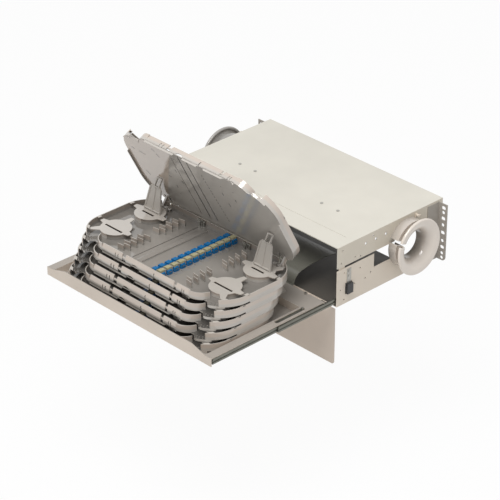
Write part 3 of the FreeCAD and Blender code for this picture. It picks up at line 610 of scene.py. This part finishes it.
def side_path(margin, start, end, steps=10):
    """The right side of a tray's outline, from one advance to another, forwards."""
    half, radius = HALF - margin, CORNER - margin
    rear_centre, front_centre = REAR + CORNER, FRONT - CORNER
    points = []
    if start < rear_centre:
        first = angle_at(max(start, REAR + margin), rear_centre, radius)
        last = angle_at(min(end, rear_centre), rear_centre, radius)
        points += arc((half - radius, rear_centre), radius, first, last, steps)
    elif start < front_centre:
        points.append((half, start))
    if end > front_centre:
        first = angle_at(max(start, front_centre), front_centre, radius)
        last = angle_at(end, front_centre, radius)
        points += arc((half - radius, front_centre), radius, first, last, steps)
    elif end > rear_centre:
        points.append((half, end))
    return points


def side_band(form, low, high, start, end, depth=WALL):
    """A stretch of wall along both sides of a tray."""
    outline = side_path(0.0, start, end) + side_path(depth, start, end)[::-1]
    form.draw(outline, low, high)
    form.draw(opposite(outline), low, high)


def rear_edge(side):
    """The advance of the tray's rear outline at a distance from the middle."""
    beyond = side - (HALF - CORNER)
    if beyond <= 0:
        return REAR
    return REAR + CORNER - math.sqrt(CORNER * CORNER - beyond * beyond)


# The front wall's straight stretch, half its length, and the curled wall at its end: the radius
# of the curl, and the advance at which it stops
STRAIGHT = 112.0
CURL, CURL_END = 30.0, 158.0
CURL_CENTRE = (STRAIGHT, FRONT - CURL)
# The front corner of the floor, in which the small holes lie: where the side's arc stops, and
# the corner between it and the curl
FAN_END = 176.1
FAN_CORNER = (144.0, 168.0)
FAN_HOLES = [(152, 168.5), (158, 168.5), (164, 167), (155.5, 173.3), (161, 163), (167, 162)]
FAN_RADIUS = 1.5
# A long narrow slot in the floor
LONG_SLOT = rectangle(-55.7, -54.3, 4.0, 160.0)


def curl_angle(advance, radius):
    """The angle in degrees at which a circle round the curl's centre reaches an advance."""
    return angle_at(advance, CURL_CENTRE[1], radius)


def floor_side():
    """The right half of the floor's outline, from the middle of its rear to its front."""
    points = [(0.0, REAR)]
    for left, right in TOWER_SLOTS:
        points += [(left, rear_edge(left)), (left, SLOT_END), (right, SLOT_END), (right, rear_edge(right))]
    points += side_path(0.0, rear_edge(SIDE_START), FAN_END, 14)
    points.append(FAN_CORNER)
    points += arc(CURL_CENTRE, CURL, curl_angle(FAN_CORNER[1], CURL), 90)
    return points


def draw_floor(form):
    """The floor, with the towers' slots, small holes in its front corners and one long slot."""
    half = floor_side()
    holes = [LONG_SLOT]
    for x, advance in FAN_HOLES:
        for side in (x, -x):
            holes.append(circle((side, advance), FAN_RADIUS, 10))
    form.draw(half + opposite(half)[:-1], BOTTOM, FLOOR, flat, holes)


# Below the side walls: how low their skirts reach, and the stretches that have one
SKIRT_LOW = -6.2
SKIRTS = [(12.0, 114.0), (159.0, 175.0)]
# Tabs at the rim of the side walls: their middles, half their length, their depth and height
RIM_TABS = [43.0, 119.0, 157.0]
RIM_TAB_HALF, RIM_TAB_DEPTH, RIM_TAB_HEIGHT = 4.0, 6.0, (RIM - 1.2, RIM - 0.05)


def draw_rear_wall(form):
    """The rear wall's stretches between the slots for the hinge towers."""
    for left, right in ((0.0, TOWER_SLOTS[0][0]), (TOWER_SLOTS[0][1], TOWER_SLOTS[1][0])):
        steps = [left + (right - left) * step / 4 for step in range(5)]
        outline = [(x, rear_edge(x)) for x in steps] + [(x, rear_edge(x) + WALL) for x in reversed(steps)]
        form.draw(outline, FLOOR - SUNK, RIM)
        form.draw(opposite(outline), FLOOR - SUNK, RIM)


def draw_curls(form):
    """The walls that curl inwards at both ends of the front wall."""
    curl = arc(CURL_CENTRE, CURL, curl_angle(CURL_END, CURL), 90)
    curl += arc(CURL_CENTRE, CURL - WALL, 90, curl_angle(CURL_END, CURL - WALL))
    form.draw(curl, BOTTOM, RIM)
    form.draw(opposite(curl), BOTTOM, RIM)


def draw_skirts_and_tabs(form):
    """Skirts below the side walls, and tabs inside their rim."""
    for start, end in SKIRTS:
        side_band(form, SKIRT_LOW, BOTTOM + SUNK, start, end)
    for middle in RIM_TABS:
        side_band(form, *RIM_TAB_HEIGHT, *around(middle, RIM_TAB_HALF), RIM_TAB_DEPTH)


def draw_bosses(form):
    """Short rods on the hinge's axis, between and beside the towers' slots."""
    for left, right in BOSSES:
        form.rod((0.0, 0.0), BOSS_RADIUS, (left, right))
        form.rod((0.0, 0.0), BOSS_RADIUS, (-right, -left))


# The front wall: its foot, the height from which its panels lean back, and how far they lean
FOOT = -6.6
SHOULDER, LEAN = 3.0, 2.5
# Arches in its foot: middle, width and height
ARCHES = [(-26.5, 23.0, 8.6), (29.5, 18.0, 4.8), (97.0, 28.0, 4.0)]
# Gaps between its panels: middle and width
GAPS = [(-55.0, 8.7), (76.5, 6.2)]
# Upright slots in its panels: their middles, half their width, and their lower and upper ends
SLOTS = [-77.0, -70.0, 23.0, 94.0, 99.0]
SLOT_HALF, SLOT_LOW, SLOT_TOP = 1.0, -1.0, 6.0
# The cut corners of the panels, and the strip that bridges a gap from behind: advance and height
BEVEL = 0.6
BRIDGE = ((FRONT - 3.0, FRONT - 0.8), (2.0, 5.0))


def leaning(a, b, c):
    """As along, but above the front wall's shoulder it leans back."""
    return a, c - LEAN * max(0.0, b - SHOULDER) / (RIM - SHOULDER), b


def arch(middle, width, height, steps=12):
    """Half an ellipse that stands on the front wall's foot, from left to right."""
    points = []
    for step in range(steps + 1):
        angle = math.pi * (1 - step / steps)
        points.append((middle + width / 2 * math.cos(angle), FOOT + height * math.sin(angle)))
    return points


def draw_lower_strip(form):
    """The front wall below its shoulder: arches cut from below, slots and gaps from above."""
    outline = [(-STRAIGHT, FOOT)]
    for middle, width, height in ARCHES:
        outline += arch(middle, width, height)
    outline += [(STRAIGHT, FOOT), (STRAIGHT, SHOULDER)]
    dips = [(*around(middle, width / 2), FLOOR) for middle, width in GAPS]
    dips += [(*around(middle, SLOT_HALF), SLOT_LOW) for middle in SLOTS]
    for left, right, depth in sorted(dips, reverse=True):
        outline += [(right, SHOULDER), (right, depth), (left, depth), (left, SHOULDER)]
    outline.append((-STRAIGHT, SHOULDER))
    form.draw(outline, FRONT - WALL, FRONT, along)


def draw_panel(form, left, right):
    """One panel above the shoulder, with its slots open below and two cut corners above."""
    outline = [(left, SHOULDER)]
    for middle in SLOTS:
        if left < middle < right:
            start, end = around(middle, SLOT_HALF)
            outline += [(start, SHOULDER), (start, SLOT_TOP), (end, SLOT_TOP), (end, SHOULDER)]
    outline += [(right, SHOULDER), (right, RIM - BEVEL), (right - BEVEL, RIM)]
    outline += [(left + BEVEL, RIM), (left, RIM - BEVEL)]
    form.draw(outline, FRONT - WALL, FRONT, leaning)


def draw_front_wall(form):
    """A lower strip, panels above it that lean back, and strips that bridge their gaps."""
    draw_lower_strip(form)
    edges = [-STRAIGHT]
    for middle, width in GAPS:
        edges += around(middle, width / 2)
    edges.append(STRAIGHT)
    for left, right in zip(edges[::2], edges[1::2]):
        draw_panel(form, left, right)
    for middle, width in GAPS:
        form.box(around(middle, width / 2 + WALL), *BRIDGE)


# The reels: their distance from the middle, the radii of plate and stem, and the plate's heights
REEL_SIDE = 141.0
REEL_RADIUS, STEM_RADIUS = 29.0, 27.5
PLATE_LOW, PLATE_TOP = 7.7, 8.9
# Each reel: advance, length of its slot, and direction and reach of its tabs
REELS = [
    (122.8, 44.0, [(-49, 45), (3, 40), (85, 44), (180, 38)]),
    (42.0, 30.0, [(0, 40), (49, 40), (180, 40)]),
]
# A reel's slot, forwards of its centre
REEL_SLOT = (2.75, 7.25)
# Half a tab's width where it leaves the plate and at its tip, and the reach of its root
TAB_ROOT_HALF, TAB_TIP_HALF, TAB_ROOT = 7.0, 4.0, 28.14


def reel_outline(centre, tabs, turned):
    """A round plate with a tapering tab in each direction of the list."""
    edge = math.degrees(math.asin(TAB_ROOT_HALF / REEL_RADIUS))
    points = []
    for number, (angle, reach) in enumerate(tabs):
        after = tabs[(number + 1) % len(tabs)][0]
        if after <= angle:
            after += 360
        tab = [(TAB_ROOT, -TAB_ROOT_HALF), (reach, -TAB_TIP_HALF)]
        tab += [(reach, TAB_TIP_HALF), (TAB_ROOT, TAB_ROOT_HALF)]
        cosine, sine = math.cos(math.radians(angle)), math.sin(math.radians(angle))
        points += [(a * cosine - b * sine, a * sine + b * cosine) for a, b in tab]
        points += arc((0.0, 0.0), REEL_RADIUS, angle + edge, after - edge, 9)[1:-1]
    # Directions are counted with forwards below, so the advance is turned over
    points = [(a, -b) for a, b in points]
    if turned:
        points = [(-a, b) for a, b in points]
    return [(centre[0] + a, centre[1] + b) for a, b in points]


def draw_reels(form):
    """Hollow stems on the floor, each with a plate above it that has tabs and a slot."""
    for turned, side in ((False, REEL_SIDE), (True, -REEL_SIDE)):
        for advance, length, tabs in REELS:
            centre = (side, advance)
            ring = circle(centre, STEM_RADIUS, 40)
            bore = circle(centre, STEM_RADIUS - WALL, 40)
            form.draw(ring, FLOOR - SUNK, PLATE_LOW, flat, [bore])
            start, end = REEL_SLOT
            slot = rectangle(*around(side, length / 2), advance + start, advance + end)
            form.draw(reel_outline(centre, tabs, turned), PLATE_LOW, PLATE_TOP, flat, [slot])


# The fins: where each group starts, its rows by their distance from the middle and their shift
# forwards, and the number and pitch of the fins in a row
FIN_GROUPS = [19.3, 102.0]
FIN_ROWS = [(73.0, 0.0), (81.0, 7.7)]
FIN_COUNT, FIN_PITCH = 4, 15.4
# A fin's length, how far it is askew, its thickness and its height above the hinge
FIN_LENGTH, FIN_SKEW, FIN_THICKNESS, FIN_TOP = 14.0, 2.0, 1.2, 10.0


def draw_fins(form):
    """Two groups of upright fins on each side, in two staggered rows a little askew."""
    for start in FIN_GROUPS:
        for number in range(FIN_COUNT):
            for row, shift in FIN_ROWS:
                advance = start + FIN_PITCH * number + shift
                end = advance + FIN_SKEW
                outline = [(row, advance), (row + FIN_LENGTH, end)]
                outline += [(row + FIN_LENGTH, end + FIN_THICKNESS), (row, advance + FIN_THICKNESS)]
                form.draw(outline, FLOOR - SUNK, FIN_TOP)
                form.draw(opposite(outline), FLOOR - SUNK, FIN_TOP)


# The low ridge and the rib along the floor: the stretch they share, the ridge's centre, radius
# and angles, and the rib's sides and height above the floor
MIDDLE_STRETCH = (4.0, 160.0)
RIDGE_CENTRE, RIDGE_RADIUS, RIDGE_ANGLES = (-41.0, -22.2), 21.5, (119.2, 60.8)
RIB_SIDE, RIB_HEIGHT = (-30.2, -29.0), 3.0
# The row of adapters: how many, where it starts, their pitch and their width
ADAPTER_COUNT = 12
ADAPTER_START, ADAPTER_PITCH, ADAPTER_WIDTH = -5.5, 15.3, 12.0
# Dividers between two adapters: half their thickness, and sides and height of two steps
DIVIDER_HALF = 0.7
DIVIDER_STEPS = [((24.5, 33.5), 12.0), ((33.5, 43.0), 2.0)]


def draw_ridges(form):
    """A low round ridge and a thin rib along the floor, left of its middle."""
    form.draw(arc(RIDGE_CENTRE, RIDGE_RADIUS, *RIDGE_ANGLES, 10), *MIDDLE_STRETCH, along)
    form.box(RIB_SIDE, MIDDLE_STRETCH, (FLOOR - SUNK, FLOOR + RIB_HEIGHT))


def draw_dividers(form):
    """Thin stepped walls between the adapters, on their right."""
    half_gap = (ADAPTER_PITCH - ADAPTER_WIDTH) / 2
    for number in range(1, ADAPTER_COUNT):
        middle = ADAPTER_START + ADAPTER_PITCH * number - half_gap
        for side, height in DIVIDER_STEPS:
            form.box(side, around(middle, DIVIDER_HALF), (FLOOR - SUNK, FLOOR + height))


# The lugs on the carrier: their middle from the tray's middle, half their thickness, and the
# radius and half the length of the pin in each
LUG_SIDE, LUG_HALF = 152.0, 2.0
LUG_PIN_RADIUS, LUG_PIN_HALF = 1.5, 7.1


def raised_hinge():
    """The raised tray's hinge from the carrier's: advance and height."""
    lower = joints[f"{CARRIER.body}_hinge"]["pos_m"]
    upper = joints[f"tray_{RAISED}_hinge"]["pos_m"]
    return (lower[1] - upper[1]) * METRE, (upper[2] - lower[2]) * METRE


def draw_lugs(form):
    """The lugs and pins on the fifth tray that carry the sixth."""
    hinge = raised_hinge()
    foot = SLOT_END + BOSS_RADIUS
    outline = [(foot, BOTTOM), (foot, 0.0), (3.3, 3.6)]
    outline += arc(hinge, BOSS_RADIUS, 30, 210, 12)
    outline += [(-3.6, 0.0), (-2.0, BOTTOM)]
    for middle in (LUG_SIDE, -LUG_SIDE):
        form.draw(outline, *around(middle, LUG_HALF), across)
        form.rod(hinge, LUG_PIN_RADIUS, around(middle, LUG_PIN_HALF))


def make_tray(tray):
    """One tray with its reels and fins, in place of the plain tray of the frame."""
    form = Form(tray.point)
    draw_floor(form)
    side_band(form, FLOOR - SUNK, RIM, rear_edge(SIDE_START + SUNK), ENTRY)
    draw_rear_wall(form)
    draw_front_wall(form)
    draw_curls(form)
    draw_skirts_and_tabs(form)
    draw_bosses(form)
    draw_reels(form)
    draw_fins(form)
    draw_ridges(form)
    draw_dividers(form)
    if tray is CARRIER:
        draw_lugs(form)
    form.finish(f"{tray.body}_form", FINISH[tray.body], tray.body, "tray_plastic", [tray.body])


# Short slots in a tray's floor, drawn as painted shade on its underside: where each starts and ends,
# across and forwards
MARKS = [
    (-156, 129, -139, 127), (-108, 159, -100, 155), (-174, 131, -167, 129), (-100, 149, -94, 142),
    (-64, 124, -63, 117), (-96, 94, -90, 90), (-61, 96, -60, 88), (-87, 71, -89, 62), (-54, 75, -56, 66),
    (56, 125, 57, 118), (87, 123, 88, 116), (59.5, 98, 61, 90), (-170, 69, -162, 60),
    (63, 146, 63, 144), (93, 146, 93, 144), (-66, 41, -66, 39), (-91, 45, -91, 43),
]
# A slanting line of dashes: how many, the middles of the first and the last, and half a length
DASHES = 16
DASH_FIRST, DASH_LAST = (18.0, 150.0), (28.0, 33.0)
DASH_HALF = 2.0
# Half the width of a mark, and the heights that it is drawn between
MARK_HALF = 0.9
MARK_HEIGHT = (BOTTOM - 0.05, BOTTOM + 0.5)
# The channel's two edges, the stretch they run over, half a rib's thickness, the rib's heights,
# and how far from an edge the painted shadow line beside its rib ends
CHANNEL = (-31.0, -11.0)
CHANNEL_STRETCH = (13.0, 178.0)
CHANNEL_HALF, CHANNEL_HEIGHT, CHANNEL_LINE = 0.5, (BOTTOM - 0.7, BOTTOM + 0.5), 1.6


def dash_ends(number):
    """Both ends of one dash, which lies straight forwards."""
    share = number / (DASHES - 1)
    x, advance = (first + (last - first) * share for first, last in zip(DASH_FIRST, DASH_LAST))
    start, end = around(advance, DASH_HALF)
    return x, end, x, start


def make_marks(tray):
    """Black pieces of painted shade for the slots in a tray's underside, and the ribs of its channel with
    a painted shadow line beside each.
    """
    dark, ribs = Form(tray.point), Form(tray.point)
    for a, b, c, d in MARKS + [dash_ends(number) for number in range(DASHES)]:
        start, end = Vector((a, b)), Vector((c, d))
        reach = (end - start).normalized() * MARK_HALF
        beside = Vector((-reach.y, reach.x))
        corners = [start - beside, end - beside, end + beside, start + beside]
        dark.draw([tuple(corner) for corner in corners], *MARK_HEIGHT)
    for edge in CHANNEL:
        ribs.box(around(edge, CHANNEL_HALF), CHANNEL_STRETCH, CHANNEL_HEIGHT)
        dark.box((edge + CHANNEL_HALF, edge + CHANNEL_LINE), CHANNEL_STRETCH, MARK_HEIGHT)
    dark.finish(f"{tray.body}_slots", BLACK, tray.body, "tray_plastic")
    ribs.finish(f"{tray.body}_ribs", FINISH[tray.body], tray.body, "tray_plastic")


# The plated clips: the middles of both, and each one's four posts, across and forwards from it
CLIP_SIDES = (-56.0, 60.0)
CLIP_POSTS = [(-6.0, -3.5), (0.0, 0.5), (7.0, -3.5), (1.0, -4.5)]
# The posts' radius and top, and the radius, height and half the length of the bar on each
POST_RADIUS, POST_TOP = 1.8, 9.6
BAR_RADIUS, BAR_HEIGHT, BAR_HALF = 1.2, 8.0, 3.0


def make_clips():
    """Two small plated clips beside the fifth tray's rear wall."""
    form = Form(CARRIER.point)
    for side in CLIP_SIDES:
        for shift, advance in CLIP_POSTS:
            form.rod((side + shift, advance), POST_RADIUS, (FLOOR - SUNK, POST_TOP), flat, 10)
            form.rod((advance, BAR_HEIGHT), BAR_RADIUS, around(side + shift, BAR_HALF), across, 8)
    form.finish(f"{CARRIER.body}_clips", ZINC, CARRIER.body, "zinc")


# An adapter across the row: the sides of its left half, its neck and its right half, each with
# the height of its top
LEFT_HALF, NECK, RIGHT_HALF = ((9.0, 19.5), 6.0), ((19.5, 24.5), 6.7), ((24.5, 35.5), 4.8)
# The stepped tops of both halves and the clip on the right, as side and height, and how much
# shorter than the adapter each is at both ends
LEFT_TOP = [(9.2, 5.9), (19.3, 5.9), (19.3, 9.0), (18.3, 10.0), (10.7, 10.0), (9.2, 8.6)]
RIGHT_TOP = [(24.6, 4.7), (35.3, 4.7), (35.3, 6.4), (34.1, 8.5), (24.6, 8.5)]
CLIP = [(35.5, 3.4), (37.4, 4.4), (37.4, 5.2), (35.5, 4.8)]
LEFT_SHORTER, RIGHT_SHORTER, CLIP_SHORTER = 1.6, 1.0, 4.0
# The cap and the smaller block behind it: sides, heights, and how much shorter than the adapter
CAP_BLOCKS = [((25.3, 34.2), (8.5, 12.2), 1.2), ((20.3, 24.6), (6.7, 8.6), 3.0)]


def make_adapters(tray):
    """Twelve adapters in a row, each with its cap and a small clip on its right."""
    bodies, caps, clips = Form(tray.point), Form(tray.point), Form(tray.point)
    for number in range(ADAPTER_COUNT):
        start = ADAPTER_START + ADAPTER_PITCH * number
        end = start + ADAPTER_WIDTH
        for side, top in (LEFT_HALF, NECK, RIGHT_HALF):
            bodies.draw(rectangle(*side, FLOOR - SUNK, top), start, end, along)
        bodies.draw(LEFT_TOP, start + LEFT_SHORTER, end - LEFT_SHORTER, along)
        bodies.draw(RIGHT_TOP, start + RIGHT_SHORTER, end - RIGHT_SHORTER, along)
        clips.draw(CLIP, start + CLIP_SHORTER, end - CLIP_SHORTER, along)
        for side, height, shorter in CAP_BLOCKS:
            caps.box(side, (start + shorter, end - shorter), height)
    for form, name, replaced, slot in (
        (bodies, "adapter_forms", f"adapters_{tray.number}", "adapter_blue"),
        (caps, "cap_forms", f"adapter_caps_{tray.number}", "cap_beige"),
    ):
        form.finish(f"{name}_{tray.number}", finish_of(replaced), tray.body, slot, [replaced])
    clips.finish(f"adapter_clips_{tray.number}", ZINC, tray.body, "zinc")


# A prop arm's blade: its foot's advance and height on the carrier, the angle at which it stands,
# half its width at the base and at the tip, how far the tip lies to one side, its height, and
# its cut corners
ARM_FOOT = (36.5, 11.4)
ARM_ANGLE = math.radians(99.2)
ARM_BASE, ARM_TIP, ARM_SHIFT = 21.0, 14.5, 2.5
ARM_SHOULDER, ARM_BEVEL = 48.0, 4.0
# Half the arm's thickness, how far the ribs stand out from the blade, and half a rib's width
ARM_HALF = 1.6
ARM_RELIEF, ARM_RIB_HALF = 1.1, 1.5
ARM_PIN_RADIUS = 2.0
# The leaning loop at the tip: the left ends of its outer and inner outline at the lower end,
# both widths, how far it leans to the right, its upper end and the width of its bars' ends
LOOP_OUTER, LOOP_INNER = (-1.75, 13.5), (0.45, 9.1)
LOOP_LEAN, LOOP_TOP, LOOP_BAR = 5.5, 66.0, 2.2


def leaning_strip(start, width, low, high):
    """A loop's outline: it moves to the right by the loop's lean from its low end to its high."""
    end = start + width
    return [(start, low), (end, low), (end + LOOP_LEAN, high), (start + LOOP_LEAN, high)]


def make_arm(side, name):
    """A tapering blade with three ribs, and a leaning loop at its tip."""
    reach = (math.cos(ARM_ANGLE), math.sin(ARM_ANGLE))

    def point(x, advance, height):
        """Across, along the blade's thickness forwards, and up the blade."""
        forwards = ARM_FOOT[0] + reach[0] * height + reach[1] * advance
        upwards = ARM_FOOT[1] + reach[1] * height - reach[0] * advance
        return CARRIER.point(side + x, forwards, upwards)

    form = Form(point)
    left, right = around(ARM_SHIFT, ARM_TIP)
    bevel = ARM_SHOULDER - ARM_BEVEL
    blade = [(-ARM_BASE, 0.0), (ARM_BASE, 0.0), (right, bevel), (right - ARM_BEVEL, ARM_SHOULDER)]
    blade += [(left + ARM_BEVEL, ARM_SHOULDER), (left, bevel)]
    form.draw(blade, -ARM_HALF, ARM_HALF - ARM_RELIEF, along)
    for foot, top in (
        (ARM_RIB_HALF - ARM_BASE, left + ARM_RIB_HALF),
        (0.0, ARM_SHIFT),
        (ARM_BASE - ARM_RIB_HALF, right - ARM_RIB_HALF),
    ):
        foot_left, foot_right = around(foot, ARM_RIB_HALF)
        top_left, top_right = around(top, ARM_RIB_HALF)
        rib = [(foot_left, 0.0), (foot_right, 0.0), (top_right, bevel), (top_left, bevel)]
        form.draw(rib, ARM_HALF - ARM_RELIEF - SUNK, ARM_HALF, along)
    outer = leaning_strip(*LOOP_OUTER, ARM_SHOULDER - LOOP_BAR, LOOP_TOP)
    inner = leaning_strip(*LOOP_INNER, ARM_SHOULDER, LOOP_TOP - LOOP_BAR)
    form.draw(outer, -ARM_HALF, ARM_HALF, along, [inner])
    form.rod((0.0, 0.0), ARM_PIN_RADIUS, (-ARM_BASE, ARM_BASE))
    form.finish(f"{name}_form", TOWER, name, "tray_plastic", [name])


for tray in TRAYS:
    make_tray(tray)
    make_adapters(tray)
    make_marks(tray)
make_clips()
make_arm(REEL_SIDE, "prop_arm_right")
make_arm(-REEL_SIDE, "prop_arm_left")


# Floor, surroundings, lamp and camera

# Half the floor's length, the number of its cells a side, and how far below the flap it lies
FLOOR_REACH, FLOOR_CELLS, FLOOR_DROP = 9.0, 8, 0.25
WHITE, PALE = (1.0, 1.0, 1.0, 1.0), (0.86, 0.86, 0.86, 1.0)


def any_ray(tree, kinds):
    """One where a ray is of any of these kinds, and zero elsewhere."""
    path = tree.nodes.new("ShaderNodeLightPath")
    result = path.outputs[kinds[0]]
    for kind in kinds[1:]:
        larger = tree.nodes.new("ShaderNodeMath")
        larger.operation = "MAXIMUM"
        tree.links.new(result, larger.inputs[0])
        tree.links.new(path.outputs[kind], larger.inputs[1])
        result = larger.outputs["Value"]
    return result


def mix_into(tree, output, factor, first, second):
    """Mixes two shaders by a factor into a material's or a world's surface."""
    mix = tree.nodes.new("ShaderNodeMixShader")
    tree.links.new(factor, mix.inputs["Fac"])
    tree.links.new(first, mix.inputs[1])
    tree.links.new(second, mix.inputs[2])
    tree.links.new(mix.outputs["Shader"], tree.nodes[output].inputs["Surface"])


def make_floor():
    """A wide pale floor below the shelf, which glows where it is seen or reflected."""
    mesh = bpy.data.meshes.new("floor")
    shape = bmesh.new()
    bmesh.ops.create_grid(shape, x_segments=FLOOR_CELLS, y_segments=FLOOR_CELLS, size=FLOOR_REACH)
    shape.to_mesh(mesh)
    shape.free()
    floor = bpy.data.objects.new("floor", mesh)
    floor.location = (0.0, 0.0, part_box("flap")[0].z - FLOOR_DROP)
    bpy.context.collection.objects.link(floor)
    material = bpy.data.materials.new("floor_pale")
    material.use_nodes = True
    tree = material.node_tree
    shader = tree.nodes["Principled BSDF"]
    shader.inputs["Base Color"].default_value = PALE
    shader.inputs["Roughness"].default_value = 0.9
    glow = tree.nodes.new("ShaderNodeEmission")
    glow.inputs["Strength"].default_value = 1.0
    weaker = tree.nodes.new("ShaderNodeMath")
    weaker.operation = "MULTIPLY"
    weaker.inputs[1].default_value = FLOOR_GLOW
    tree.links.new(any_ray(tree, ["Is Camera Ray", "Is Glossy Ray"]), weaker.inputs[0])
    factor = weaker.outputs["Value"]
    mix_into(tree, "Material Output", factor, shader.outputs["BSDF"], glow.outputs["Emission"])
    mesh.materials.append(material)


def make_world():
    """White to look at and in reflections, and softer as light."""
    world = bpy.data.worlds.new("studio")
    bpy.context.scene.world = world
    world.use_nodes = True
    tree = world.node_tree
    soft = tree.nodes["Background"]
    white = tree.nodes.new("ShaderNodeBackground")
    for shader, strength in ((soft, SOFT_LIGHT), (white, 1.0)):
        shader.inputs["Color"].default_value = WHITE
        shader.inputs["Strength"].default_value = strength
    seen = any_ray(tree, ["Is Camera Ray", "Is Glossy Ray", "Is Transmission Ray"])
    mix_into(tree, "World Output", seen, soft.outputs["Background"], white.outputs["Background"])


def make_lamp(name, place, aim, size, power):
    """A round area lamp that points at a place."""
    data = bpy.data.lights.new(name, "AREA")
    data.shape = "DISK"
    data.size = size
    data.energy = power
    lamp = bpy.data.objects.new(name, data)
    lamp.location = place
    lamp.rotation_mode = "QUATERNION"
    lamp.rotation_quaternion = (Vector(aim) - Vector(place)).to_track_quat("-Z", "Y")
    bpy.context.collection.objects.link(lamp)


def make_camera():
    """A camera that looks along its azimuth and its elevation."""
    data = bpy.data.cameras.new("camera")
    data.lens = CAMERA_LENS
    data.sensor_width = CAMERA_SENSOR
    data.clip_start, data.clip_end = CAMERA_CLIP
    camera = bpy.data.objects.new("camera", data)
    azimuth, elevation = math.radians(CAMERA_AZIMUTH), math.radians(CAMERA_ELEVATION)
    back = Vector((
        math.sin(azimuth) * math.cos(elevation),
        -math.cos(azimuth) * math.cos(elevation),
        math.sin(elevation),
    ))
    camera.location = CAMERA_PLACE
    camera.rotation_mode = "QUATERNION"
    camera.rotation_quaternion = (-back).to_track_quat("-Z", "Y")
    bpy.context.collection.objects.link(camera)
    bpy.context.scene.camera = camera


make_floor()
make_world()
make_lamp("key", place=(0.5, -1.2, 2.4), aim=(0.0, -0.3, 0.0), size=1.6, power=45.0)
make_camera()
bpy.context.scene.view_settings.view_transform = "Standard"
